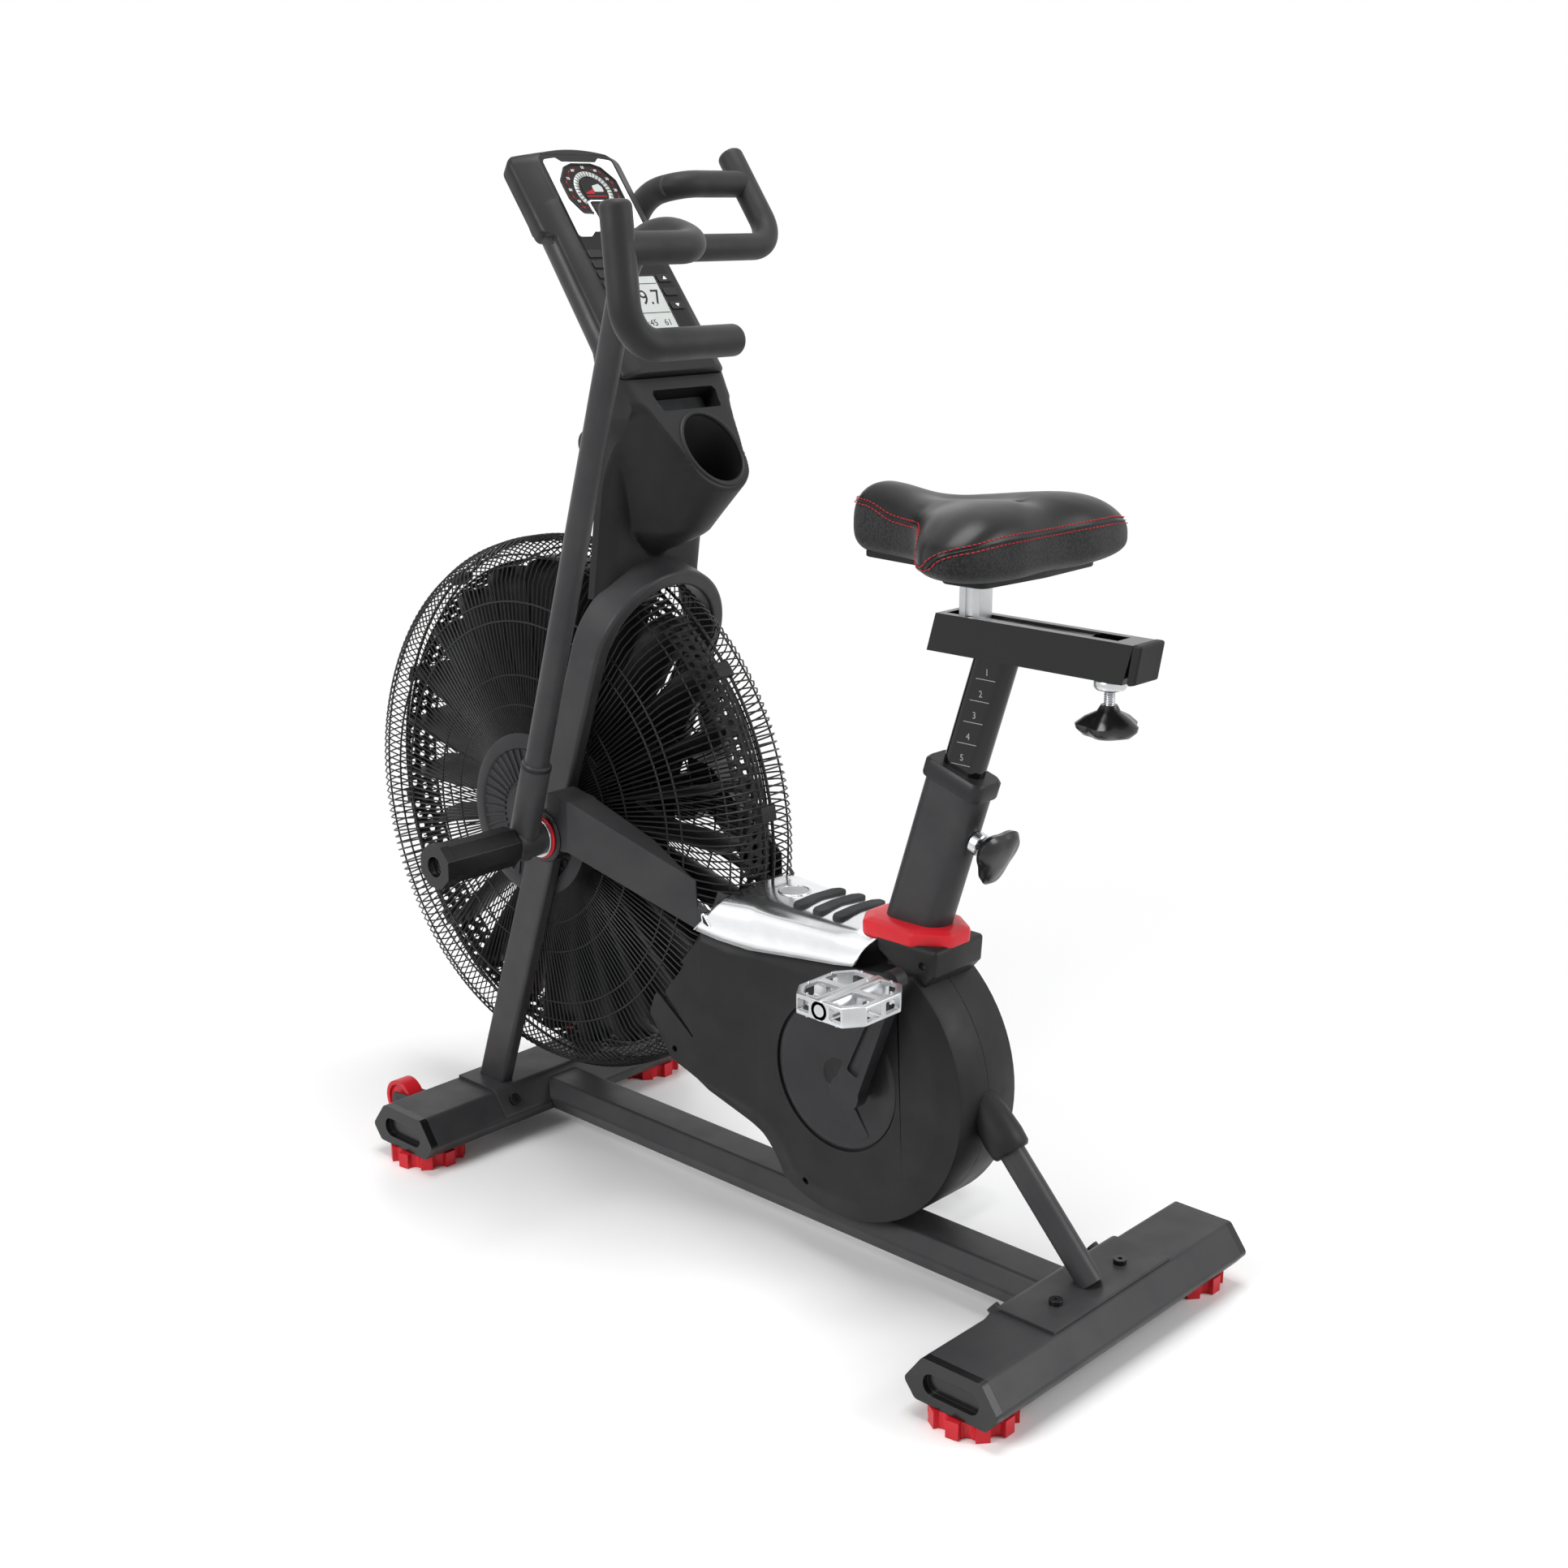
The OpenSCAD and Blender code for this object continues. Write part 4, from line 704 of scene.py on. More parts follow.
@dataclass
class FanCage:
    """The fan, its cage of 432 half wires, and the discs over its hub. Sizes in mm.

    Attributes:
        hub: radius of the disc that the wires run into.
        rim: outer radius of the cage.
        turn: radius of the bend that takes each wire round the rim.
        half: half the cage's width at the shoulder.
        wires: wires on each face.
        wire: radius of a wire.
        blades: blades of the fan.
        tip: radius of a blade's tip.
        chord: width of a blade.
        pitch: angle of a blade from the axis, degrees.
        root: radius at which a blade starts.
        camber: height of a blade's bow.
        band: radius of the perforated hoop.
        clips: clips round the rim.
    """

    hub: float = 112
    rim: float = 367
    turn: float = 65
    half: float = 78
    wires: int = 216
    wire: float = 1.15
    blades: int = 26
    tip: float = 336
    chord: float = 86
    pitch: float = 7
    root: float = 50
    camber: float = 11
    band: float = 338.0
    clips: int = 12

    def place(self) -> Place:
        """The fan's frame: outlines in X and Z, depth to the left."""
        return outward(FAN_AXIS)

    def wire_paths(self) -> tuple[np.ndarray, np.ndarray]:
        """Each wire: out along the face, a quarter turn round the rim, and down to the middle.

        Returns:
            The paths, (wires, points, 3), and a direction across each, (wires, 1, 3).
        """
        bend = np.radians([78, 58, 38, 18, 0])
        shoulder = self.rim - self.turn
        r = np.concatenate([[96, self.hub, 205], shoulder + self.turn * np.cos(bend), [self.rim]])
        low = self.half - self.turn
        h = np.concatenate([[80, 80.5, 79.5], low + self.turn * np.sin(bend), [3]])
        a = ((np.arange(self.wires) + 0.5) * 2 * np.pi / self.wires)[:, None]
        flat = np.stack([r * np.cos(a), r * np.sin(a), np.broadcast_to(h, (self.wires, len(h)))], -1)
        place = self.place()
        across = place.at(np.stack([-np.sin(a), np.cos(a), 0 * a], -1)) - np.array(place.origin)
        return place.at(flat), across

    def build_cage(self) -> None:
        """Wires, rings and rim clips of both faces."""
        paths, across = self.wire_paths()
        place = self.place()
        slope = 2.5 / (self.rim - self.turn - self.hub)
        for side in (LEFT, RIGHT):
            name = SIDE_NAMES[side]
            shells = [many_tubes(paths, self.wire, 4, across)]
            piece(f"{name}_cage_wires", mirrored(shells, side), COATED_WIRE, "frame", "wire", sharp=80,
                  replaces=(f"{name}_guard",))
            rings = [ring(r, self.half - 0.5 + (302 - r) * slope, 1.3, place) for r in (150, 190, 262, 288)]
            rings += [ring(self.rim - 3.4, 8, 2.2, place), ring(self.rim - 20, 53, 1.3, place)]
            piece(f"{name}_cage_rings", mirrored(rings, side), COATED_WIRE, "frame", "wire", sharp=80)
        clips = []
        for k in range(self.clips):
            a = math.radians(360 / self.clips * k + 9)
            out, across = np.array([math.cos(a), math.sin(a)]), np.array([-math.sin(a), math.cos(a)])
            block = [out * (self.rim - 3.4 + i) + across * j for i, j in oblong(-5, 4, -11, 11)]
            clips.append(prism(rounded(block, 2.5, 3), -13, 13, place))
        piece("cage_clips", clips, MOULDED_ABS, "frame", "plastic", bevel=0.8)

    def build_discs(self) -> None:
        """Hub discs: a dished plate with ribs in its ring."""
        place = self.place()
        plate = [(0, 87), (20, 87), (24, 85), (44, 85), (46, 82.6), (90, 82.6), (93, 85.5), (105, 85.5),
                 (self.hub, 82.4), (self.hub, 78.8), (0, 78.8)]
        ribs = []
        for a in np.radians(np.arange(0, 360, 9.0)):
            out, across = np.array([math.cos(a), math.sin(a)]), np.array([-math.sin(a), math.cos(a)])
            bent = [(49, -2.2), (70, -1.6), (90, 1.4), (90, 4.8), (70, 2.2), (49, 1.2)]
            ribs.append(prism(np.array([out * r + across * c for r, c in bent]), 80, 85, place))
        for side in (LEFT, RIGHT):
            extra = {"replaces": ("hub_caps",)} if side == LEFT else {}
            shells = mirrored([lathe(plate, place, 96)] + ribs, side)
            piece(f"{SIDE_NAMES[side]}_hub_disc", shells, SMOOTH_ABS, "frame", "plastic", bevel=0.5, **extra)

    def blade(self) -> np.ndarray:
        """One blade along +X of the fan's frame.

        Half the chord grows with the root of a smooth step of the way out; the tip's corners are
        rounded off by the fourth power of the way across; camber is a parabola across the chord.

        Returns:
            The grid of its points, (11, 9, 3).
        """
        s, t = np.linspace(0, 1, 11)[:, None], np.linspace(-1, 1, 9)[None, :]
        reach = self.tip - 16 * t**4
        r = self.root + (reach - self.root) * s
        half = self.chord / 2 * (0.3 + 0.7 * np.sqrt(smoothstep(s * 1.5)))
        camber = self.camber * (1 - t**2) * smoothstep(s * 3)
        p = math.radians(self.pitch)
        across = half * t * math.sin(p) + camber * math.cos(p)
        depth = half * t * math.cos(p) - camber * math.sin(p)
        return np.stack([r, across, depth], -1)

    def band_with_holes(self) -> Shell:
        """A hoop round the blades with three staggered rows of round holes, cell by cell.

        Each cell is eight quads between the points of its border and of an octagonal hole.

        Returns:
            The hoop's points and faces.
        """
        cells, row, hole, radius = 132, 17.0, 5.0, self.band
        step = 2 * np.pi / cells
        b = np.radians(np.arange(8) * 45.0)
        border = np.array([(1, 0), (1, 1), (0, 1), (-1, 1), (-1, 0), (-1, -1), (0, -1), (1, -1)], float)
        k, which = np.meshgrid(np.arange(cells), np.arange(3))
        middle_h = (row * (which - 1.0))[..., None]
        middle_a = ((k + 0.5 * (which % 2)) * step)[..., None]
        edge_h = middle_h + border[:, 0] * row / 2
        edge_a = middle_a + border[:, 1] * step / 2
        hole_h = middle_h + hole * np.cos(b)
        hole_a = middle_a + hole * np.sin(b) / radius
        h, a = np.stack([edge_h, hole_h], -2), np.stack([edge_a, hole_a], -2)
        points = np.stack([radius * np.cos(a), radius * np.sin(a), h], -1)
        faces = quads(2, 8, False, True)[None] + (np.arange(cells * 3) * 16)[:, None, None]
        return self.place().at(points.reshape(-1, 3)), faces.reshape(-1, 4).tolist()

    def build_fan(self) -> None:
        """Blades, perforated bands and hub of the fan wheel."""
        blade, place = self.blade(), self.place()
        shells = []
        for k in range(self.blades):
            a = 2 * math.pi * k / self.blades
            turned = blade.copy()
            turned[..., 0] = blade[..., 0] * math.cos(a) - blade[..., 1] * math.sin(a)
            turned[..., 1] = blade[..., 0] * math.sin(a) + blade[..., 1] * math.cos(a)
            shells.append(grid(place.at(turned)))
        piece("fan_blades", shells, BLACK_SHEET, "fan_wheel", "fan", replaces=("fan",), thick=1.4)
        piece("fan_hoop", [self.band_with_holes()], BLACK_SHEET, "fan_wheel", "fan", thick=1.4)
        hub = [(0, 34), (24, 34), (26, 28), (96, 24), (99, 22), (96, 20), (30, 14), (30, -14), (96, -20),
               (99, -22), (96, -24), (26, -28), (19.6, -34), (19.6, -54), (0, -54)]
        piece("fan_hub", [lathe(hub, place, 96)], BLACK_SHEET, "fan_wheel", "fan", bevel=0.6)

    def build(self) -> None:
        """The whole fan and cage."""
        self.build_cage()
        self.build_discs()
        self.build_fan()


# ---------------------------------------------------------------- swinging arms


@dataclass
class SwingArm:
    """One arm: pivot barrel, sleeve, tube and foam handle. Sizes in mm, in the arm's own frame.

    Attributes:
        side: left or right.
        lean: its angle to the rear at rest, degrees.
        y: how far out the tube is.
        grip_y: how far out the upright bar is.
        tube: radius of the tube.
        foam: radius of the foam.
        top: height of the upper bar.
    """

    side: int
    lean: float
    y: float = 183
    grip_y: float = 307
    tube: float = 15.5
    foam: float = 17.6
    top: float = 805

    def placed(self, shells: list) -> list:
        """Shells drawn in the arm's own frame on the left, put where this arm hangs."""
        frame = leaned(ARM_AXIS, self.lean)
        return mirrored([(frame.at(points), faces) for points, faces in shells], self.side)

    def build(self) -> None:
        """Builds the metal and the foam of the arm."""
        name = SIDE_NAMES[self.side]
        own_side = outward(ORIGIN)
        own_up = Place((0, -self.y, 0))
        rise = filleted([(0, -self.y, 60), (0, -self.y, self.top), (95, -self.y, self.top)], [75], 18)
        metal = [
            tube(rise, self.tube),
            lathe([(15.4, 116), (17.4, 116), (18.8, 114), (18.8, -12), (16, -19), (0, -19)], own_up, 48),
            lathe([(9, 201), (20, 201), (22, 199), (22, 157), (20.5, 155), (20, 143), (9, 143)],
                  own_side, 48),
            prism(np.array([(-7, 0), (7, 0), (6, 22), (0, 27), (-6, 22)]), 137, 143, own_side),
        ]
        body = f"{name}_arm_body"
        piece(f"{name}_arm_tube", self.placed(metal), POWDER_COAT, body, "paint", bevel=0.8,
              replaces=(f"{name}_arm",))
        seams = [lathe([(18.9, 109), (19.5, 109), (19.5, 113), (18.9, 113)], own_up, 48)]
        piece(f"{name}_arm_band", self.placed(seams), MOULDED_ABS, body, "plastic")
        elbow = filleted([(0, -self.y, 600), (0, -self.y, self.top), (111, -self.y, self.top),
                          (111, -self.grip_y, self.top)], [75, 35], 16)
        foam_start = 9
        over = elbow[foam_start:]
        loop = filleted([(93, -self.grip_y, 851), (150, -self.grip_y, 713), (150, -143, 713)], [44], 14)
        foam = [tube(over, self.foam, 36, (0.3, 0.2, 1)), tube(loop, self.foam, 36, (1, 0.25, 0.4), dome=8)]
        piece(f"{name}_grip_foam", self.placed(foam), GRIP_FOAM, body, "foam", sharp=60,
              replaces=(f"{name}_grip",))
        collar = elbow[foam_start - 1 : foam_start + 2]
        end = tube(collar, self.foam - 0.8, 36)
        piece(f"{name}_grip_end", self.placed([end]), GLOSSY_ABS, body, "plastic")


def build_pivots() -> None:
    """On each side: a black boss, a red ring and a bright ring round the arm's pivot."""
    place = outward(ARM_AXIS)
    boss = [(22, 152.4), (31, 152.4), (34, 150), (34.4, 118), (33, 118)]
    red = [(21, 152), (27.5, 152), (28, 152.8), (27.5, 155), (21, 155)]
    bright = [(22, 155), (25.4, 155), (25.8, 156), (25.4, 158.4), (22, 158.4)]
    rings = {
        "boss_cover": (GLOSSY_ABS, "plastic", boss),
        "red_ring": (RED_NYLON, "red", red),
        "bright_ring": (PLATED_STEEL, "steel", bright),
    }
    for name, (finish, slot, profile) in rings.items():
        for side in (LEFT, RIGHT):
            shells = mirrored([lathe(profile, place, 72)], side)
            piece(f"{SIDE_NAMES[side]}_{name}", shells, finish, "frame", slot, bevel=0.4)


# ---------------------------------------------------------------- saddle and its post


@dataclass
class Saddle:
    """The saddle: a grained top, knitted sides, a double red seam and a base pan.

    Its plan is an outline shrunk towards a spine, and its height runs over a superellipse.

    Attributes:
        x: middle of the saddle along the bike.
        z: underside of the padding.
        seam: share of the way from crown to foot at which the seam runs.
    """

    x: float = 372.8
    z: float = 891
    seam: float = 0.4

    def plan(self, count: int) -> np.ndarray:
        """The outline from above: a nose, a waist and two wide lobes.

        Args:
            count: points, spaced evenly along the outline.

        Returns:
            The points, (count, 2), smoothed by weights of 1, 2 and 1 six times.
        """
        half = [(-143, 0), (-141, 22), (-128, 34), (-98, 40), (-52, 47), (-14, 62), (18, 98), (46, 136),
                (76, 160), (104, 164), (126, 146), (136, 112), (139, 70), (134, 30), (132, 0)]
        right = np.array(half, float)
        loop = np.concatenate([right, right[-2:0:-1] * [1, -1]])
        closed = np.concatenate([loop, loop[:1]])
        way = np.concatenate([[0], np.cumsum(np.linalg.norm(np.diff(closed, axis=0), axis=1))])
        t = np.linspace(0, way[-1], count, endpoint=False)
        line = np.stack([np.interp(t, way, closed[:, 0]), np.interp(t, way, closed[:, 1])], 1)
        for _ in range(6):
            line = (np.roll(line, 1, 0) + 2 * line + np.roll(line, -1, 0)) / 4
        return line

    def surface(self, down: np.ndarray, count: int = 160, out: float = 0.0) -> np.ndarray:
        """Points at shares of the way from the crown (0) to the middle of the underside (1).

        The share turns an angle. Its sine is how far out a point lies towards the outline, to the
        power 0.9 above the widest line and 0.62 below it, and its cosine to the power 0.75 is the
        height. A Gaussian valley runs along the middle, with a lobe on either side at the rear,
        and the seam dips where the lobes stand out.

        Args:
            down: shares of the way.
            count: points round the saddle.
            out: how far the points stand off the cover.

        Returns:
            The points, (shares, count, 3).
        """
        outline = self.plan(count)[None]
        spine = np.stack([np.clip(outline[..., 0], -100, 74), 0 * outline[..., 0]], -1)
        px, py = outline[..., 0], np.abs(outline[..., 1])
        low = self.seam + 0.17 * np.exp(-(((px - 52) / 46) ** 2)) * smoothstep((py - 62) / 80)
        low = low - 0.05 * smoothstep((-px - 60) / 50)
        share = np.asarray(down, float)[:, None]
        below = low + (share - self.seam) * (1 - low) / (1 - self.seam)
        share = np.where(share < self.seam, share * low / self.seam, below)
        a = np.pi * share
        far = np.abs(np.sin(a)) ** 0.62
        far = np.where(a > np.pi / 2, far, np.abs(np.sin(a)) ** 0.9)
        xy = spine + (outline - spine) * far[..., None]
        rise = np.sign(np.cos(a)) * np.abs(np.cos(a)) ** 0.75
        x, y = xy[..., 0], xy[..., 1]
        crown = 58 + 5 * smoothstep((x + 40) / 130) - 3 * smoothstep((-x - 80) / 70)
        valley = 7 * np.exp(-((y / 24) ** 2)) * smoothstep((x + 90) / 90) * (1 - smoothstep((x - 70) / 50))
        lobe = 3 * np.exp(-(((y - np.sign(y) * 84) / 60) ** 2)) * smoothstep((x - 10) / 70)
        lobe = lobe - 4 * smoothstep((np.abs(y) - 96) / 60)
        foot = 26 + 8 * smoothstep((-x - 40) / 90)
        top = foot + (crown - 8) * rise + (lobe - valley) * smoothstep(rise * 1.6)
        z = np.where(rise > 0, top, foot + foot * rise)
        normal_out = (outline - spine) / np.linalg.norm(outline - spine, axis=-1, keepdims=True)
        xy = xy + normal_out * out * np.abs(np.sin(a))[..., None]
        return np.stack([xy[..., 0] + self.x, xy[..., 1], z + self.z + out * np.cos(a)], -1)

    def build(self) -> None:
        """Top, sides, seam cord, two rows of stitches and the pan."""
        down = np.concatenate([np.linspace(0, self.seam, 22), np.linspace(self.seam, 1, 26)[1:]])
        points, faces = grid(self.surface(down), False, True)
        pad = piece("saddle_pad", [(points, faces)], SADDLE_VINYL, "seat_carriage", "leather", sharp=80,
                    replaces=("saddle",))
        pad.data.materials.append(material(SPACER_MESH))
        self.split_cloth(pad)
        line = self.surface(np.array([self.seam]), 240, 0.4)[0]
        closed = np.concatenate([line, line[:2]])
        cord = loft(tube_points(closed, 0.6, 8, np.array([0.02, 0.03, 1.0])))
        piece("saddle_piping", [cord], GLOSSY_ABS, "seat_carriage", "leather", sharp=80)
        stitches = 160
        for row, share in (("upper", self.seam - 0.022), ("lower", self.seam + 0.02)):
            line = self.surface(np.array([share]), 2 * stitches, 0.5)[0].reshape(stitches, 2, 3)
            middle = line.mean(1, keepdims=True)
            ends = middle + (line - middle) * 0.95 * 1.4
            paths = np.concatenate([ends[:, :1], middle, ends[:, 1:]], 1)
            rows = many_tubes(paths, 0.6, 5, np.array([0.05, 0.02, 1.0]))
            piece(f"saddle_stitches_{row}", [rows], RED_THREAD, "seat_carriage", "red", sharp=80)
        outline = rounded([(-120, -26), (-10, -38), (60, -104), (112, -104), (118, 0), (112, 104), (60, 104),
                           (-10, 38), (-120, 26)], 12)
        pan = prism(outline + [self.x, 0], self.z - 3, self.z + 5, Place(ORIGIN))
        piece("saddle_pan", [pan], MOULDED_ABS, "seat_carriage", "plastic", bevel=2)

    def split_cloth(self, pad: bpy.types.Object) -> None:
        """Gives the knitted finish to the faces below the seam, found by their height.

        Args:
            pad: the padding, whose second material is the knitted one.
        """
        mesh = pad.data
        centre, normal = np.zeros(len(mesh.polygons) * 3), np.zeros(len(mesh.polygons) * 3)
        mesh.polygons.foreach_get("center", centre)
        mesh.polygons.foreach_get("normal", normal)
        seam = self.surface(np.array([self.seam]), 160)[0]
        c = centre.reshape(-1, 3) / MM
        near = np.argmin((c[:, None, 0] - seam[None, :, 0]) ** 2 + (c[:, None, 1] - seam[None, :, 1]) ** 2, 1)
        below = (c[:, 2] < seam[near, 2]).astype(np.int32)
        mesh.polygons.foreach_set("material_index", below)


@dataclass
class SeatPost:
    """What is added to the post and its rail: scale, sleeve, collar, rail cap, rods and knobs.

    Attributes:
        foot: where the seat tube's axis leaves the shroud.
        lean: its angle to the rear, degrees.
        rail_z: underside of the rail.
        rail_mid: middle of the rail along the bike.
        pitch: spacing of the scale.
        top_number: height of its first figure along the post.
        sleeve: half the sleeve's length and width, and the radius of its corners.
    """

    foot: tuple = (322, 0, 449)
    lean: float = 17.3
    rail_z: float = 791.8
    rail_mid: float = 482.8
    pitch: float = 27
    top_number: float = 342
    sleeve: tuple = (42, 24, 12)

    def lobed(self, profile: list, lobes: int, depth: float, place: Place) -> Shell:
        """A turned profile whose radius swells and shrinks with the cosine of the turn.

        Args:
            profile: (radius, height) pairs.
            lobes: swellings in a turn.
            depth: how far the radius swells, as a share; it fades out near the axis.
            place: the frame that it turns in.

        Returns:
            Its points and faces.
        """
        rh = np.array(profile, float)
        a = np.linspace(0, 2 * np.pi, 96, endpoint=False)
        swell = 1 + depth * np.cos(lobes * a) * smoothstep(rh[:, :1] / 20 - 0.4)
        r = rh[:, :1] * swell
        h = np.repeat(rh[:, 1:], 96, 1)
        return grid(place.at(np.stack([r * np.cos(a), r * np.sin(a), h], -1)), False, True)

    def thread(self, radius: float, low: float, high: float) -> list:
        """A profile of small teeth, 2.4 mm apart.

        Args:
            radius: over the teeth.
            low: where they start.
            high: where they end.

        Returns:
            (radius, height) pairs.
        """
        h = np.arange(low, high, 1.2)
        return [(0, low)] + [(radius - (k % 2) * 1.1, v) for k, v in enumerate(h)] + [(0, high)]

    def build_scale(self, seat: Place) -> None:
        """Five figures over five lines, level with the floor, on the post's left face.

        Args:
            seat: the seat tube's frame.
        """
        face = Place(tuple(seat.at(np.array([0, -14.1, 0]))), seat.x, seat.z, (0, -1, 0))
        words, lines = [], []
        for k in range(5):
            level = outward(tuple(face.at(np.array([0, self.top_number - self.pitch * k, 0]))))
            middle = tuple(level.at(np.array([2, 0.5, 0])))
            words.append((str(k + 1), 11, Place(middle, level.x, level.y, level.z)))
            lines.append(prism(np.array(oblong(-13, 14, -8.2, -7.4)), -0.1, 0.15, level))
        lettering("post_numbers", words, INK_GREY, "seat_height", "silver")
        piece("post_scale_lines", lines, INK_GREY, "seat_height", "silver")

    def build_collars(self, seat: Place) -> None:
        """The dark sleeve on top of the seat tube and the red collar at its foot.

        Args:
            seat: the seat tube's frame.
        """
        length, width, corner = self.sleeve
        layers = []
        for h, grow in ((196, 0.2), (198, 0.8), (214.6, 0.8), (218, -1.5), (218, -8)):
            a, b = length + grow, width + grow
            oval = rounded(oblong(-a, a, -b, b), corner, 5)
            layers.append(seat.at(np.column_stack([oval, np.full(len(oval), h)])))
        piece("post_sleeve", [loft(np.stack(layers))], SMOOTH_ABS, "frame", "plastic", sharp=40,
              replaces=("seat_tube_collar",))
        outline = rounded([(-66, -18), (-46, -47), (28, -47), (66, -20), (66, 20), (28, 47), (-46, 47),
                           (-66, 18)], 14, 5)
        layers = []
        for h, inward in ((442, 3), (444, 0.4), (456, 0), (459, 1.2), (462, 8), (463, 14)):
            line = inset(outline, inward) + [self.foot[0] + 1, 0]
            layers.append(np.column_stack([line, np.full(len(line), h)]))
        piece("tube_collar", [loft(np.stack(layers))], RED_NYLON, "frame", "red", sharp=40)

    def build_rail_parts(self) -> None:
        """The rail's end cap, and under the rail a nut and a threaded rod with its knob."""
        z, x = self.rail_z, self.rail_mid + 131
        cap = rounded([(x - 1, z - 1), (x + 10, z + 2), (x + 17, z + 45), (x + 5, z + 45)], 3)
        piece("rail_cap", [prism(cap, -23, 23, outward(ORIGIN))], MOULDED_ABS, "seat_height", "plastic",
              bevel=3)
        down = Place((self.rail_mid + 96, 0, z))
        nut = lathe([(7, -1), (17, -1), (18, -3), (18, -9), (16, -12), (7, -12)], down, 40)
        piece("rail_nut", [nut], PLATED_STEEL, "seat_height", "gloss_paint", bevel=0.6)
        rod = lathe(self.thread(6.4, -44, 8), down, 32)
        piece("saddle_knob_rod", [rod], PLATED_STEEL, "carriage_knob", "steel", sharp=20)
        knob = [(0, -66), (12, -66), (25, -62), (32, -55), (33, -50), (24, -42), (13, -36), (9, -29),
                (0, -29)]
        piece("saddle_knob", [self.lobed(knob, 5, 0.09, down)], GLOSSY_ABS, "carriage_knob", "plastic",
              sharp=50, replaces=("clamp_knob",))

    def build_pin(self, seat: Place) -> None:
        """The pull knob of the height pin and its bright collar, square to the seat tube.

        Args:
            seat: the seat tube's frame.
        """
        pin = Place(tuple(seat.at(np.array([27.8, 0, 143]))), tuple(-v for v in seat.z), seat.y, seat.x)
        collar = [(0, 14), (13, 14), (14, 15), (14, 24), (12, 26), (0, 26)]
        piece("pin_collar", [lathe(collar, pin, 40)], PLATED_STEEL, "frame", "steel", bevel=0.6)
        shaft = lathe([(0, 0.5), (5, 0.5), (5, 26), (7, 30), (7, 36), (0, 36)], pin, 32)
        grip = [(0, 33), (12, 33), (20, 36), (31, 42), (33, 48), (28, 54), (12, 57), (0, 57)]
        piece("height_knob", [self.lobed(grip, 3, 0.16, pin), shaft], GLOSSY_ABS, "height_pin", "plastic",
              sharp=50, replaces=("seat_pin",))

    def build(self) -> None:
        """Everything on the post, the seat tube and the rail."""
        seat = leaned(self.foot, self.lean)
        self.build_scale(seat)
        self.build_collars(seat)
        self.build_rail_parts()
        self.build_pin(seat)


# ---------------------------------------------------------------- drive end: shrouds, cover, pedals


def inset(outline: np.ndarray, amount: np.ndarray | float) -> np.ndarray:
    """An outline moved inwards along the mean normal of each corner's two edges.

    Args:
        outline: the corners, either way round.
        amount: how far, one for all or one for each.

    Returns:
        The moved corners.
    """
    before, after = outline - np.roll(outline, 1, 0), np.roll(outline, -1, 0) - outline
    before /= np.linalg.norm(before, axis=1, keepdims=True)
    after /= np.linalg.norm(after, axis=1, keepdims=True)
    mean = np.stack([-(before + after)[:, 1], (before + after)[:, 0]], 1)
    mean /= np.linalg.norm(mean, axis=1, keepdims=True)
    bend = np.clip(np.sum(mean * np.stack([-after[:, 1], after[:, 0]], 1), 1), 0.5, 1)
    x, y = outline[:, 0], outline[:, 1]
    turn = np.sign(np.sum(x * np.roll(y, -1) - y * np.roll(x, -1)))
    return outline + turn * mean * (np.asarray(amount) / bend)[..., None]


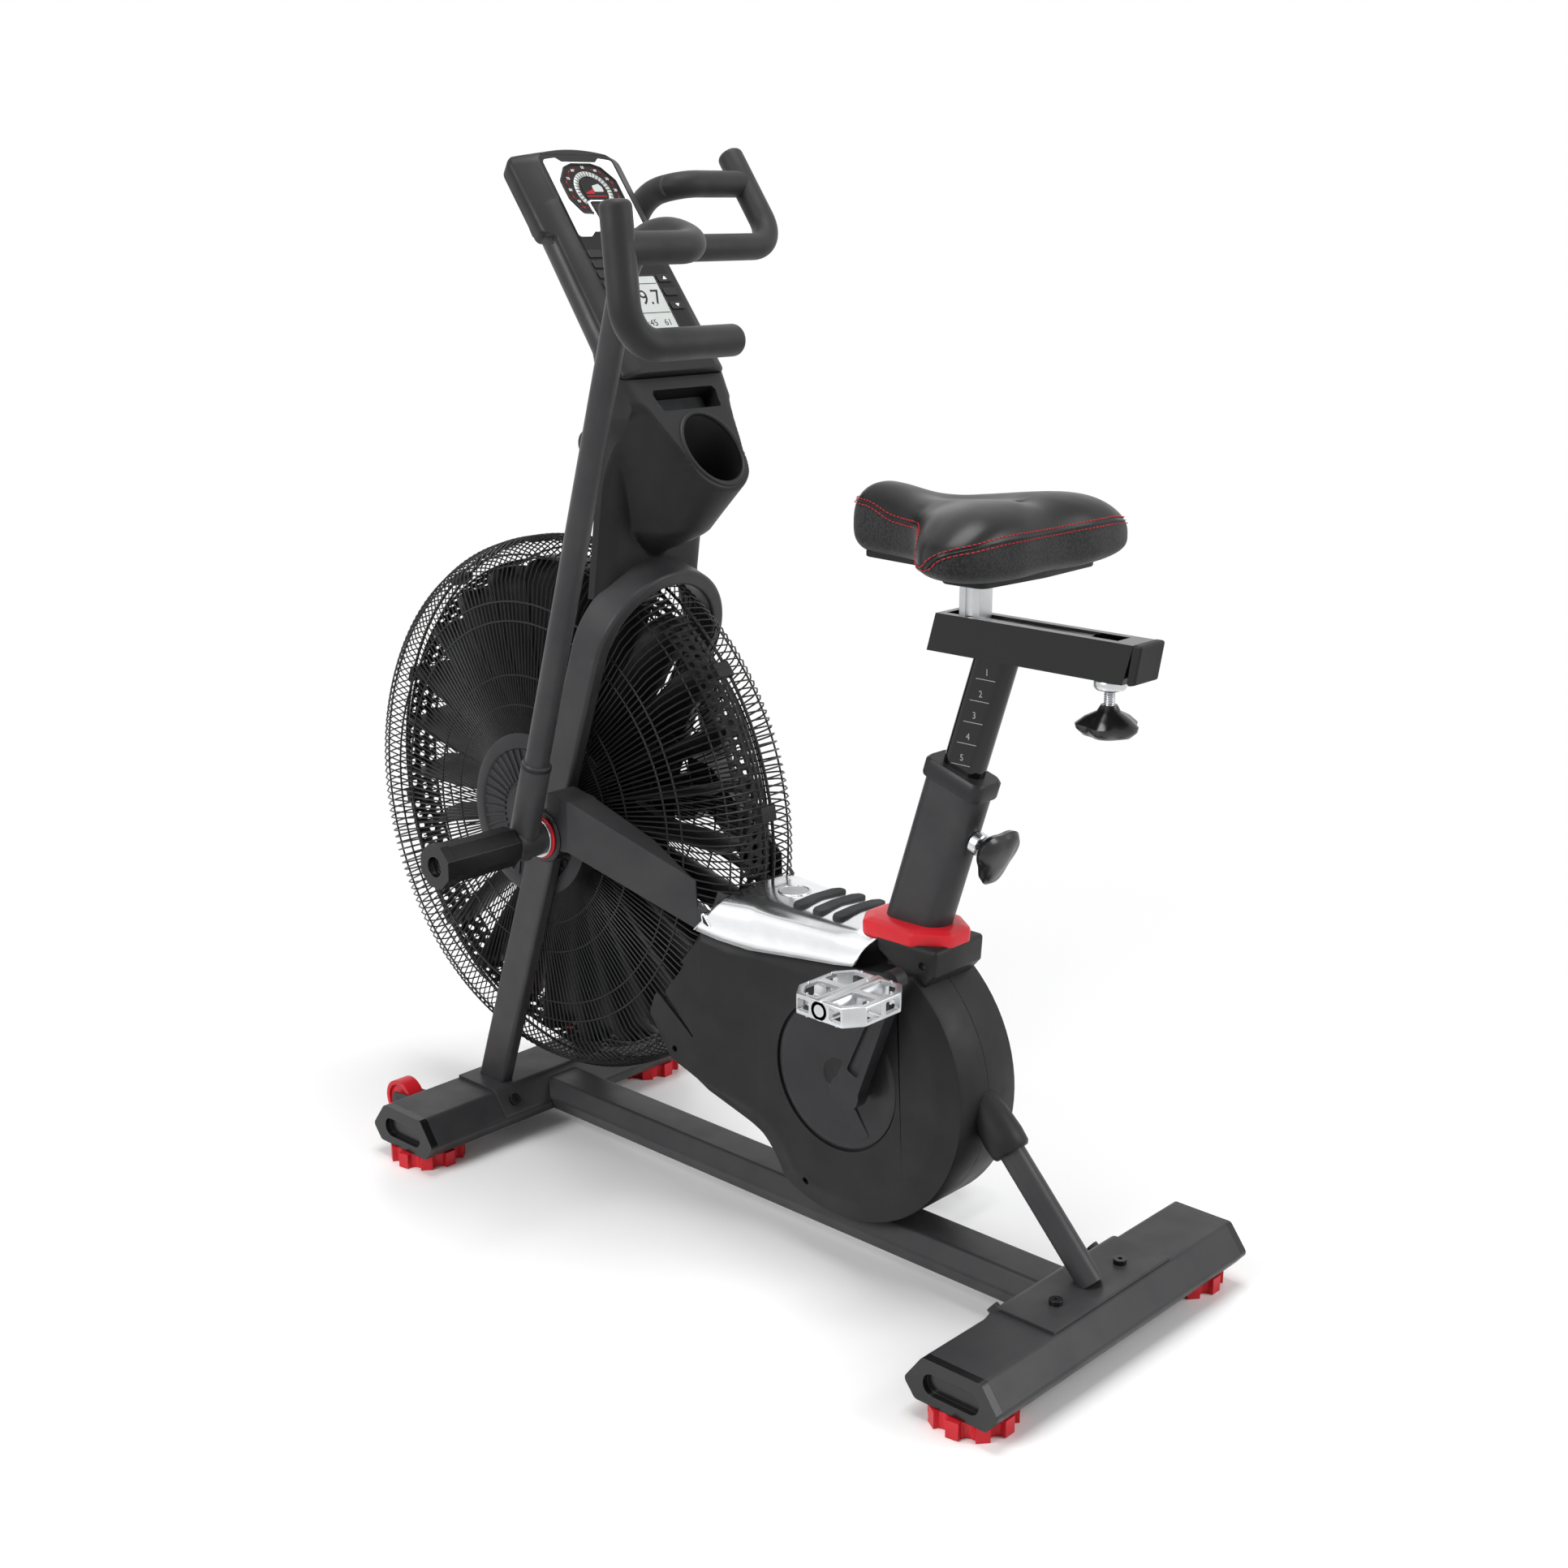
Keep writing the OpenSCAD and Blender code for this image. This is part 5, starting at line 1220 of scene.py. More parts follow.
@dataclass
class DriveEnd:
    """Both shrouds, the discs behind the cranks, the bright cover, the hoods and the pedals.

    Attributes:
        half: depth of a shroud at its flat face.
        crank: crank axle along the bike and above the floor.
        crank_length: from the axle to a pedal.
        crank_turn: angle of the left crank from upright, degrees.
        pedal_y: how far out the middle of a pedal is.
        shroud: centre of the shroud's round end.
        radius: its radius.
        creases: places along the bike between which the shroud widens to clear the cage.
        flare_by: how much it widens for each mm ahead of the rear crease.
        screws: places of the screw holes in the shroud and their radii.
    """

    half: float = 62
    crank: tuple = (293, 258)
    crank_length: float = 172
    crank_turn: float = 22.9
    pedal_y: float = 164
    shroud: tuple = (246, 256)
    radius: float = 190
    creases: tuple = (40, 120)
    flare_by: float = 0.25
    screws: tuple = ((-8, 224, 4.5), (201, 100, 5))

    def outline(self) -> np.ndarray:
        """The shroud's side view: a neck at the fan, and a round end about the crank.

        Returns:
            Points along the bike and above the floor.
        """
        a = np.radians(np.linspace(-118, 54, 40))
        x, z = self.shroud
        arc = np.stack([x + self.radius * np.cos(a), z + self.radius * np.sin(a)], 1)
        head = filleted([(31, 400), (-49, 291), (-60, 262), (-19, 203), (135, 132), tuple(arc[0])],
                        [6, 14, 40, 120], 8)
        top = filleted([tuple(arc[-1]), (285, 400), (79, 397), (31, 400)], [16, 0], 5)
        return np.concatenate([head[:-1], arc, top[1:-1]])

    def flare(self, x: np.ndarray) -> np.ndarray:
        """How many times as wide the shroud is at x: it grows evenly between the two creases."""
        front, rear = self.creases
        return 1 + np.clip(rear - x, 0, rear - front) * self.flare_by / self.half

    def widen(self, thing: bpy.types.Object) -> None:
        """Splits a piece at the two creases, then moves its points out by the flare.

        Args:
            thing: the piece.
        """
        made = bmesh.new()
        made.from_mesh(thing.data)
        for x in self.creases:
            parts = [*made.verts, *made.edges, *made.faces]
            bmesh.ops.bisect_plane(made, geom=parts, plane_co=(x * MM, 0, 0), plane_no=(1, 0, 0))
        for corner in made.verts:
            corner.co.y *= float(self.flare(corner.co.x / MM))
        made.to_mesh(thing.data)
        made.free()

    def screw_hole(self, x: float, z: float, radius: float, end: float) -> Shell:
        """A bore across the bike at x and z, from a depth of 40 to its end."""
        return lathe([(0, 40), (radius, 40), (radius, end), (0, end)], outward((x, 0, z)), 20)

    def build_shroud(self, side: int) -> None:
        """One half: a wall, a wide soft shoulder and a flat face with its recesses.

        Args:
            side: left or right.
        """
        line = self.outline()
        # The shoulder is narrow at the neck and full width past x = 130.
        reach = np.clip((line[:, 0] + 60) / 190, 0.16, 1)
        steps = [(0.3, 0.0), (50, 0.0), (51.6, 0.9), (60.0, 26), (61.2, 30), (61.8, 34), (62, 38)]
        place = outward(ORIGIN)
        layers = [np.column_stack([inset(line, reach * d), np.full(len(line), h)]) for h, d in steps]
        shell = loft(np.stack([place.at(layer) for layer in layers]))
        name = SIDE_NAMES[side]
        thing = piece(f"{name}_shroud_shell", mirrored([shell], side), MOULDED_ABS, "frame", "plastic",
                      sharp=24, replaces=(f"{name}_shroud",))
        self.widen(thing)
        disc = outward(DISC_AXIS)
        chevron = rounded([(-10, 346), (13, 345), (-25, 298), (40, 238), (-34, 291), (-45, 297)], 1.2, 2)
        cage_room = [(0, -30), (369, -30), (369, 13), (361, 38), (346, 62), (322, 77), (304, 79.6), (0, 79.6)]
        cuts = [lathe([(0, 57.5), (96, 57.5), (96, 80), (0, 80)], disc, 96), prism(chevron, 77.5, 110, place)]
        cuts += [self.screw_hole(x, z, r, 90) for x, z, r in self.screws]
        cuts.append(lathe(cage_room, outward(FAN_AXIS), 180))
        carve(thing, mirrored(cuts, side))
        dish = [(0, 57), (20, 57), (22, 58.8), (84, 61.6), (89, 61.2), (93.6, 59.4), (93.6, 55), (0, 55)]
        piece(f"{name}_crank_disc", mirrored([lathe(dish, disc, 96)], side), SMOOTH_ABS, "frame", "plastic",
              bevel=0.6)
        spoke_turn = math.radians(35)
        c, s = math.cos(spoke_turn), math.sin(spoke_turn)
        turned = Place(DISC_AXIS, (c, 0, s), (-s, 0, c), (0, -1, 0))
        spoke = prism(rounded([(-9, -84), (9, -84), (7, -34), (-7, -34)], 3), 58, 62.6, turned)
        piece(f"{name}_disc_spoke", mirrored([spoke], side), SMOOTH_ABS, "frame", "plastic", bevel=1.2)

    def cover_surface(self) -> np.ndarray:
        """The bright cover: from lower edge to lower edge over a crowned deck.

        Across, an angle t runs from one edge to the other: half the width is the cosine to the
        power 0.42 and the height the sine to the power 0.5, so the shoulders are tight and the
        deck nearly flat. The edge's height and width follow tables along the bike.

        Returns:
            The points, (60, 61, 3).
        """
        u, v = np.linspace(0, 1, 60)[:, None], np.linspace(0, np.pi, 61)[None, :]
        c, s = np.cos(v), np.sin(v)
        up = np.abs(s) ** 0.5
        front = 32 + 37 * up
        rear = 300 - 22 * (1 - up)
        x = front + (rear - front) * u
        edge_x = [32, 70, 116, 190, 250, 274, 302]
        low = np.interp(x, edge_x, [398, 392, 388, 395, 401, 404, 428])
        wide = np.interp(x, edge_x, [85, 80, 72, 66, 63.5, 60, 52])
        y = -np.sign(c) * np.abs(c) ** 0.42 * wide
        deck = 446 + 2.5 * (1 - (y / 60) ** 2) - 5 * smoothstep((x - 262) / 36)
        dip = 2.2 * np.exp(-(((np.abs(y) - 55) / 7) ** 2)) * smoothstep((x - 90) / 60)
        z = low + (deck - low) * up - dip * up
        return np.stack([x, y, z], -1)

    def build_cover(self) -> None:
        """The cover with its badge plate, three rubber pads and side marks."""
        piece("cover_shell", [grid(self.cover_surface())], SATIN_SILVER, "frame", "silver", sharp=60,
              replaces=("top_cover",), thick=2)
        badge = Place((126, 0, 446.5))
        plate = [(0, 3.6), (19, 3.6), (20, 3.0), (20.5, 0), (0, 0)]
        rim = [(17.6, 3.4), (18.2, 4.2), (20.4, 4.2), (21.2, 3.2), (21.2, 0), (17.6, 0)]
        piece("badge_plate", [lathe(plate, badge, 64)], INK_GREY, "frame", "silver")
        piece("badge_rim", [lathe(rim, badge, 64)], PLATED_STEEL, "frame", "steel", sharp=50)
        pads = []
        for x in (165, 197, 229):
            outline = rounded([(x - 8, -34), (x - 2, -44), (x + 10, -44), (x + 12, -30), (x + 8, 0),
                               (x + 12, 30), (x + 10, 44), (x - 2, 44), (x - 8, 34), (x - 11, 0)], 6, 4)
            pads.append(prism(outline, 444, 452.5, Place(ORIGIN)))
        piece("cover_pads", pads, RUBBER, "frame", "rubber", bevel=2.4)
        place = outward(ORIGIN)
        outer = rounded([(41, 432), (46, 408), (68, 400)], 3.5, 4)
        inner = inset(outer, 3.0)
        for side in (LEFT, RIGHT):
            name = SIDE_NAMES[side]
            mark = mirrored([prism(outer, 66, 84.2, place)], side)
            field = mirrored([prism(inner, 66, 84.7, place)], side)
            piece(f"{name}_cover_mark", mark, SATIN_SILVER, "frame", "silver", bevel=1)
            piece(f"{name}_cover_mark_field", field, PANEL_BLACK, "frame", "plastic")

    def build_hoods(self) -> None:
        """The hood under the red collar and the one over the top of the stay."""
        side_view = rounded([(296, 446), (388, 446), (386, 414), (372, 398), (352, 396), (300, 428)], 5, 4)
        block = prism(side_view, -46, 46, outward(ORIGIN))
        hood = piece("collar_hood", [block], MOULDED_ABS, "frame", "plastic", bevel=5)
        carve(hood, [self.screw_hole(368, 424, 5, 60)])
        foot, top = np.array([591.0, 0, 80]), np.array([313.0, 0, 378])
        along = (top - foot) / np.linalg.norm(top - foot)
        across = (-along[2], 0, along[0])
        stay = Place((466, 0, 214), across, (0, 1, 0), tuple(along))
        profile = [(17, -10), (21, -10), (24, -6), (25, 10), (23, 40), (18, 70), (10, 92), (0, 100)]
        piece("stay_hood", [lathe(profile, stay, 48)], MOULDED_ABS, "frame", "plastic", bevel=0.8)

    def build_pedal(self, side: int) -> None:
        """An open platform pedal: an eight-sided frame with windows through it and grip pins.

        Args:
            side: left or right.
        """
        turn = math.radians(self.crank_turn)
        s = 1 if side == LEFT else -1
        x = self.crank[0] + s * self.crank_length * math.sin(turn)
        z = self.crank[1] + s * self.crank_length * math.cos(turn)
        middle = (x, -self.pedal_y, z)
        name = SIDE_NAMES[side]
        body = f"{name}_pedal_body"
        frame = rounded([(-50, -30), (-34, -52), (34, -52), (50, -30), (50, 30), (34, 51), (-34, 51),
                         (-50, 30)], 4, 3)
        shell = mirrored([prism(frame, -12, 12, Place(middle))], side)
        cast = piece(f"{name}_pedal_cage", shell, CAST_ALUMINIUM, body, "silver", bevel=1.6,
                     replaces=(f"{name}_pedal",))
        carve(cast, mirrored(self.pedal_windows(middle), side))
        profile = [(7.2, 111), (12.5, 111), (13, 113), (13, 213), (12, 216), (7.2, 216)]
        barrel = lathe(profile, outward((x, 0, z)), 32)
        piece(f"{name}_pedal_barrel", mirrored([barrel], side), CAST_ALUMINIUM, body, "silver", bevel=0.6)
        pins = []
        places = ((-44, -20), (-44, 20), (44, -20), (44, 20), (-22, -47), (22, -47), (-22, 46), (22, 46),
                  (0, -30), (0, 30))
        for px, py in places:
            pin = Place((x + px, -self.pedal_y + py, z))
            pins += [lathe([(0, low), (1.7, low), (1.7, high), (0, high)], pin, 10)
                     for low, high in ((11, 14.2), (-14.2, -11))]
        piece(f"{name}_pedal_pins", mirrored(pins, side), PLATED_STEEL, body, "steel")

    def pedal_windows(self, middle: tuple) -> list:
        """Cutters for a pedal: four windows through it, and slots through its ends and sides.

        Args:
            middle: the pedal's middle, on the left.

        Returns:
            The cutters as shells.
        """
        lengthwise, crosswise = Place(middle, (0, 1, 0), (0, 0, 1), (1, 0, 0)), outward(middle)
        windows = []
        for sx in (-1, 1):
            for sy in (-1, 1):
                hole = np.array([(9, 5), (43, 5), (43, 27), (30, 45), (9, 45)]) * [sx, sy]
                windows.append(prism(rounded(hole.tolist(), 3.5, 3), -20, 20, Place(middle)))
            low, high = (30, 60) if sx > 0 else (-60, -30)
            for sy in (-1, 1):
                windows.append(prism(self.slot(sy * 4, sy * 28), low, high, lengthwise))
            windows.append(prism(self.slot(sx * 15, sx * 32), -60, 60, crosswise))
        return windows

    def slot(self, start: float, end: float) -> np.ndarray:
        """A rounded oblong 15 mm high."""
        return rounded(oblong(start, end, -7.5, 7.5), 2.5, 3)

    def build(self) -> None:
        """Everything at the drive end."""
        for side in (LEFT, RIGHT):
            self.build_shroud(side)
            self.build_pedal(side)
        self.build_cover()
        self.build_hoods()


# ---------------------------------------------------------------- console, fairing and cup


@dataclass
class Console:
    """The console: a raised face with gauge, shield and display, above a fairing with a cup.

    The face frame's X runs down the face, its Y to the rider's right and its Z out of it.

    Attributes:
        tilt: lean of the face to the rear, degrees.
        top: where the face frame starts, at the console's upper end.
        rise: height of the flat face over that frame.
        gauge: middle of the gauge down the face.
        left_keys: places of the keys down the left column.
        right_keys: places of the keys down the right column.
        column: how far the key columns are from the middle.
        cup_lean: lean of the cup's bore, degrees.
    """

    tilt: float = 53.6
    top: tuple = (-275, 0, 1328)
    rise: float = 20
    gauge: float = 66
    left_keys: tuple = (156, 171, 186, 201, 216)
    right_keys: tuple = (194, 214, 234)
    column: float = 47
    cup_lean: float = 25

    def face(self) -> Place:
        """The face's frame."""
        return leaned(self.top, self.tilt)

    def body_outline(self, half: float, start: float, end: float, arch: float, widen: float) -> np.ndarray:
        """A rounded oblong whose upper edge is arched: it rises with one less the square across.

        Args:
            half: half its width.
            start: where its upper corners are, down the face.
            end: where its lower edge is.
            arch: how far the upper edge rises in the middle.
            widen: how much further out its lower corners are.

        Returns:
            The outline's points.
        """
        y = np.linspace(-half * 0.86, half * 0.86, 15)
        upper = np.stack([start - arch * (1 - (y / half) ** 2), y], 1)
        corners_right = [tuple(upper[-1]), (start, half), (end, half + widen), (end, half * 0.5)]
        right = filleted(corners_right, [14, 7], 6)[1:-1]
        left = right[::-1] * [1, -1]
        return np.concatenate([upper, right, left])

    def build_body(self) -> None:
        """The housing: a deep head, a slimmer lower part, and the socket that takes the mast."""
        # For each layer: its height, half its width, and where it starts and ends down the face.
        head = [(-26, 82, 6, 106), (-23, 86, 2, 110), (-4, 92, 0, 112), (0, 92, 0, 112), (4, 89, 2, 116),
                (15, 69, 7, 140), (18.6, 64.5, 9, 150), (19.8, 62.5, 10.5, 152), (20, 61, 11.5, 153)]
        lower = [(-16, 64, 70, 321), (-12, 69, 68, 324), (2, 79, 66, 325), (7, 80, 66, 325),
                 (10, 78, 66, 325), (16, 69, 66, 325), (18.8, 65, 66, 325), (19.8, 63, 66, 324),
                 (20, 61.5, 66, 323.5)]
        face = self.face()
        shells = []
        for steps, arch, widen in ((head, 9, 0), (lower, 0, 6)):
            layers = []
            for n, half, start, end in steps:
                line = self.body_outline(half, start, end, arch, widen if n < 17 else 0)
                layers.append(face.at(np.column_stack([line, np.full(len(line), n)])))
            shells.append(loft(np.stack(layers)))
        piece("console_shell", shells, MOULDED_ABS, "frame", "plastic", sharp=50,
              replaces=("console_housing", "console_face"))
        block = np.array([(4, -20), (12, -42), (30, -72), (42, -87), (58, -88), (66, -42), (104, -22)], float)
        turned = Place(face.origin, face.x, face.z, (0, 1, 0))
        socket = prism(rounded(block, 6), -22, 22, turned)
        piece("mast_block", [socket], MOULDED_ABS, "frame", "plastic", bevel=4)

    def slab(self, outline: np.ndarray | list, low: float, high: float) -> Shell:
        """An outline on the face, from one height over it to another."""
        return prism(np.array(outline, float), self.rise + low, self.rise + high, self.face())

    def reading(self, down: float, right: float, over: float) -> Place:
        """A frame on the face for figures that are read from the saddle.

        Args:
            down: place down the face.
            right: place to the rider's right.
            over: height over the face.

        Returns:
            The frame, whose X reads and whose Z faces out.
        """
        face = self.face()
        at = face.at(np.array([down, right, self.rise + over]))
        return Place(tuple(at), (0, 1, 0), tuple(-v for v in face.x), face.z)

    def plate(
        self, name: str, outline: np.ndarray, low: float, high: float, finish: Finish, slot: str,
        bevel: float = 0.3,
    ) -> None:
        """A flat plate on the face, between two heights over it.

        Args:
            name: the piece's name.
            outline: its edge, down the face and to the right.
            low: height of its underside over the face.
            high: height of its top.
            finish: its material.
            slot: the record's material slot.
            bevel: width of its rounded edge.
        """
        piece(name, [self.slab(outline, low, high)], finish, "frame", slot, bevel=bevel)

    def outline_band(
        self, name: str, outline: np.ndarray, width: float, low: float, high: float, finish: Finish,
        slot: str,
    ) -> None:
        """A narrow band that follows an outline.

        Args:
            name: the piece's name.
            outline: its outer edge.
            width: how far its inner edge is inside that.
            low: height of its underside over the face.
            high: height of its top.
            finish: its material.
            slot: the record's material slot.
        """
        inner = inset(outline, width)
        rows = [np.column_stack([line, np.full(len(line), self.rise + n)])
                for line, n in ((outline, low), (outline, high), (inner, high), (inner, low))]
        points = np.stack([self.face().at(r) for r in rows])
        piece(name, [grid(points, True, True)], finish, "frame", slot, sharp=30)

    def build_bezel(self) -> None:
        """The black film over the lower face and the silver bezel over the upper one."""
        film = rounded([(120, -57), (120, 57), (290, 57), (304, 48), (304, -48), (290, -57)], 4)
        self.plate("face_film", film, -0.5, 0.5, PANEL_BLACK, "plastic")
        bezel = rounded([(18, -57), (15, -36), (21, -28), (21, 28), (15, 36), (18, 57), (131, 58), (131, 38),
                         (124, 29), (124, -29), (131, -38), (131, -58)], [5, 3, 3, 3, 3, 5, 5, 3, 4, 4, 3, 5])
        self.plate("face_bezel", bezel, 0, 2.2, PANEL_SILVER, "silver", 0.8)

    def build_dial(self) -> None:
        """The gauge's field with a dark edge, a red line, a grey arc, ticks and figures."""
        dial = rounded([(31, -30), (26, -16), (26, 16), (31, 30), (50, 45), (76, 45), (96, 33), (97, 12),
                        (97, -12), (96, -33), (76, -45), (50, -45)], 3, 3)
        self.plate("gauge_field", dial, 1.5, 3.0, PANEL_BLACK, "plastic")
        self.outline_band("gauge_edge", inset(dial, -1.6), 2.0, 1.5, 4.0, SMOOTH_ABS, "plastic")
        self.outline_band("gauge_line", inset(dial, 7.5), 1.0, 2.5, 3.2, INK_RED, "red")
        a = np.radians(np.linspace(-40, 220, 53))[:, None]
        r = np.array([22.5, 29.5])[None]
        t, y = self.gauge - r * np.sin(a), -r * np.cos(a)
        arc = self.face().at(np.stack([t, y, np.full_like(t, self.rise + 3.25)], -1))
        piece("gauge_arc", [grid(arc)], LCD_GREY, "frame", "silver", thick=0.4)
        ticks, middle = [], np.array([self.gauge, 0])
        for k in range(25):
            b = math.radians(-36 + 10.5 * k)
            out, across = np.array([-math.sin(b), -math.cos(b)]), np.array([math.cos(b), -math.sin(b)])
            start = 23 if k % 4 else 20.5
            line = [middle + out * i + across * j for i, j in oblong(start, 29, -0.35, 0.35)]
            ticks.append(self.slab(line, 3.3, 3.8))
        piece("gauge_ticks", ticks, PANEL_BLACK, "frame", "plastic")
        words = []
        for k in range(9):
            b = math.radians(-30 + 30 * k)
            at = self.reading(self.gauge - 2 - 36.5 * math.sin(b) * 0.92, -37.5 * math.cos(b), 3.2)
            words.append((str(10 * (9 - k)), 5.4, at))
        lettering("gauge_numbers", words, INK_WHITE, "frame", "silver")

    def build_gauge_core(self) -> None:
        """The gauge's middle: a dark field, a small glass and a red staircase of bars over a line."""
        core = rounded([(54, -17), (48, -8), (48, 12), (56, 20), (72, 20), (78, 14), (78, -17)], 2.5, 3)
        self.plate("gauge_core", core, 3.0, 3.7, PANEL_BLACK, "plastic")
        glass = rounded([(58, 0), (55, 12), (60, 16), (67, 16), (67, 0)], 1.5, 3)
        self.plate("gauge_glass", glass, 3.5, 4.1, LCD_GREY, "silver")
        bars = []
        for k in range(6):
            t, y = 68 - 0.9 * k, 2.2 * k
            bars.append(self.slab([(t, -14 + y), (t, -12.4 + y), (70, -12.4 + y), (70, -14 + y)], 3.6, 4.0))
        bars.append(self.slab(oblong(73, 74, -15, 17), 3.6, 4.0))
        piece("gauge_bars", bars, INK_RED, "frame", "red")

    def build_shield(self) -> None:
        """The silver shield under the gauge, with a dark field, a glass and a red line."""
        shield = rounded([(82, -20), (79, -14), (79, 14), (82, 20), (120, 16), (133, 10), (138, 0),
                          (133, -10), (120, -16)], [3, 3, 3, 3, 5, 6, 8, 6, 5], 4)
        self.plate("shield_frame", shield, 1.5, 4.6, PANEL_SILVER, "silver", 1.2)
        self.plate("shield_field", inset(shield, 2.6), 4.0, 5.0, PANEL_BLACK, "plastic")
        glass = rounded([(86, -14), (86, 14), (98, 13), (98, -13)], 2, 3)
        self.plate("shield_glass", glass, 4.8, 5.4, SMOOTH_ABS, "plastic")
        loop = rounded([(118, -10), (118, 10), (129, 7), (131, 0), (129, -7)], 2, 4)
        self.outline_band("shield_line", loop, 1.0, 4.8, 5.5, INK_RED, "red")

    def build_display(self) -> None:
        """The display: a glass in a dark frame, with figures and rules."""
        glass = rounded([(190, -31), (190, 31), (275, 31), (275, -31)], 2, 3)
        self.outline_band("display_frame", inset(glass, -1.5), 2.0, 0.3, 2.0, GLOSSY_ABS, "plastic")
        self.plate("display_glass", glass, 0.3, 1.5, LCD_GREY, "silver")
        reads = [("19.7", 30, 222, 0), ("0:45", 13, 258, -12), ("61", 13, 258, 17)]
        figures = [(text, size, self.reading(down, right, 1.5)) for text, size, down, right in reads]
        lettering("display_figures", figures, PANEL_BLACK, "frame", "plastic")
        rules = [self.slab([(t, -29), (t, 29), (t + 0.8, 29), (t + 0.8, -29)], 1.4, 1.75)
                 for t in (201, 243, 269)]
        piece("display_rules", rules, PANEL_BLACK, "frame", "plastic")

    def build_keys(self) -> None:
        """Two columns of keys, and arrows on the first and last key of the right one."""
        places = [(t, -self.column) for t in self.left_keys] + [(t, self.column) for t in self.right_keys]
        corners_of_key = ((-5.4, -11.5), (-5.4, 11.5), (5.4, 11.5), (5.4, -11.5))
        for k, (t, y) in enumerate(places, 1):
            cap = rounded([(t + a, y + b) for a, b in corners_of_key], 2.2, 4)
            piece(f"key_cap_{k}", [self.slab(cap, 0.6, 2.1)], SMOOTH_ABS, f"button_{k}", "plastic", bevel=0.5,
                  replaces=(f"key_{k}",))
        for k, (key, turn) in enumerate(((6, -1), (8, 1)), 1):
            t, y = places[key - 1]
            tip = [(t + 2.6 * turn, y), (t - 2.2 * turn, y + 3.5), (t - 2.2 * turn, y - 3.5)]
            piece(f"arrow_{k}", [self.slab(tip, 2.0, 2.3)], INK_WHITE, f"button_{key}", "silver")

    def mast_line(self, z: np.ndarray) -> np.ndarray:
        """Place along the bike of the leaning sheet in front of the mast, at a height."""
        return -119.5 + 37.5 * (z - 798) / 268

    def fairing_surface(self, rows: int = 120, columns: int = 81) -> np.ndarray:
        """The front of the fairing as distance to the rear, over height and width.

        A leaning sheet and the outer wall of the cup are joined by a smooth maximum; the cup's
        wall stops at the sloping panel through a smooth minimum; the edges curl forward with
        the eighth power of the way across. The lower edge follows the arch over the fan.

        Args:
            rows: points from bottom to top.
            columns: points across.

        Returns:
            The points, (rows, columns, 3).
        """
        v, u = np.linspace(0, 1, rows)[:, None], np.linspace(-1, 1, columns)[None, :]
        z_low = 832 - 36 * np.abs(u) ** 2.2
        z = z_low + (1070 - z_low) * v
        half = 90 - 15 * np.exp(-(((z - 1004) / 36) ** 2)) + 1.5 * smoothstep((z - 1050) / 16)
        y = u * half
        sheet = self.mast_line(z)
        c, s = math.cos(math.radians(self.tilt)), math.sin(math.radians(self.tilt))
        slope = -275 + 10 * s + (1328 + 10 * c - z) * c / s
        rear = 50 - (969 - z) * 0.943 - 50 * np.clip((884 - z) / 38, 0, 3) ** 1.6
        narrow = 49.5 - 7 * smoothstep((975 - z) / 90) - 24 * smoothstep((884 - z) / 46)
        inside = np.clip(1 - (y / narrow) ** 2, 0, None)
        wall = rear - 54 * (1 - np.sqrt(inside)) - 110 * smoothstep((np.abs(y) - narrow + 8) / 36)

        def lower(a: np.ndarray, b: np.ndarray, k: float) -> np.ndarray:
            """The smaller of two, with a smooth change from one to the other over k."""
            h = np.clip(0.5 + 0.5 * (b - a) / k, 0, 1)
            return b + (a - b) * h - k * h * (1 - h)

        cup = lower(slope, wall, 9.0)
        x = -lower(-sheet, -cup, 20.0)
        x = x - 15 * np.abs(u) ** 8
        x = np.where(z > 1040, lower(x, slope + 1.0, 6.0), x)
        return np.stack([x, y, z], -1)

    def build_fairing(self) -> None:
        """The fairing with its cup bore, lip and slot for a telephone."""
        front = self.fairing_surface()
        back = front[:, ::-1].copy()
        back[..., 0] = self.mast_line(back[..., 2]) - 26
        shell = loft(np.concatenate([front, back], 1))
        thing = piece("fairing_shell", [shell], MOULDED_ABS, "frame", "plastic", sharp=45,
                      replaces=("mast_shroud",))
        face = self.face()
        cup = leaned(tuple(face.at(np.array([430, 0, 10]))), self.cup_lean)
        slot = rounded([(344, -50), (344, 50), (350, 54), (374, 49), (374, -49), (350, -54)], 3, 4)
        bore = [(0, -82), (30, -82), (35, -76), (42.5, -10), (43, 60), (0, 60)]
        carve(thing, [lathe(bore, cup, 72), prism(slot, -22, 40, face)])
        a = np.linspace(0, 2 * np.pi, 97)
        reach, drop = 44.6, math.tan(math.radians(self.tilt - self.cup_lean))
        line = np.stack([reach * np.cos(a), reach * np.sin(a), -reach * np.cos(a) * drop - 1], -1)
        lip = tube_points(cup.at(line), 3.4, 12, np.array(face.z))
        piece("cup_lip", [loft(lip)], MOULDED_ABS, "frame", "plastic", sharp=60)
        notch = leaned(tuple(face.at(np.array([359, 0, -9.0]))), self.tilt)
        tray = prism(rounded([(-14, -49), (14, -48), (14, 48), (-14, 49)], 3), -8, -5, notch)
        piece("slot_pad", [tray], RUBBER, "frame", "rubber")

    def build(self) -> None:
        """The console and the fairing."""
        self.build_body()
        self.build_bezel()
        self.build_dial()
        self.build_gauge_core()
        self.build_shield()
        self.build_display()
        self.build_keys()
        self.build_fairing()


# ---------------------------------------------------------------- studio


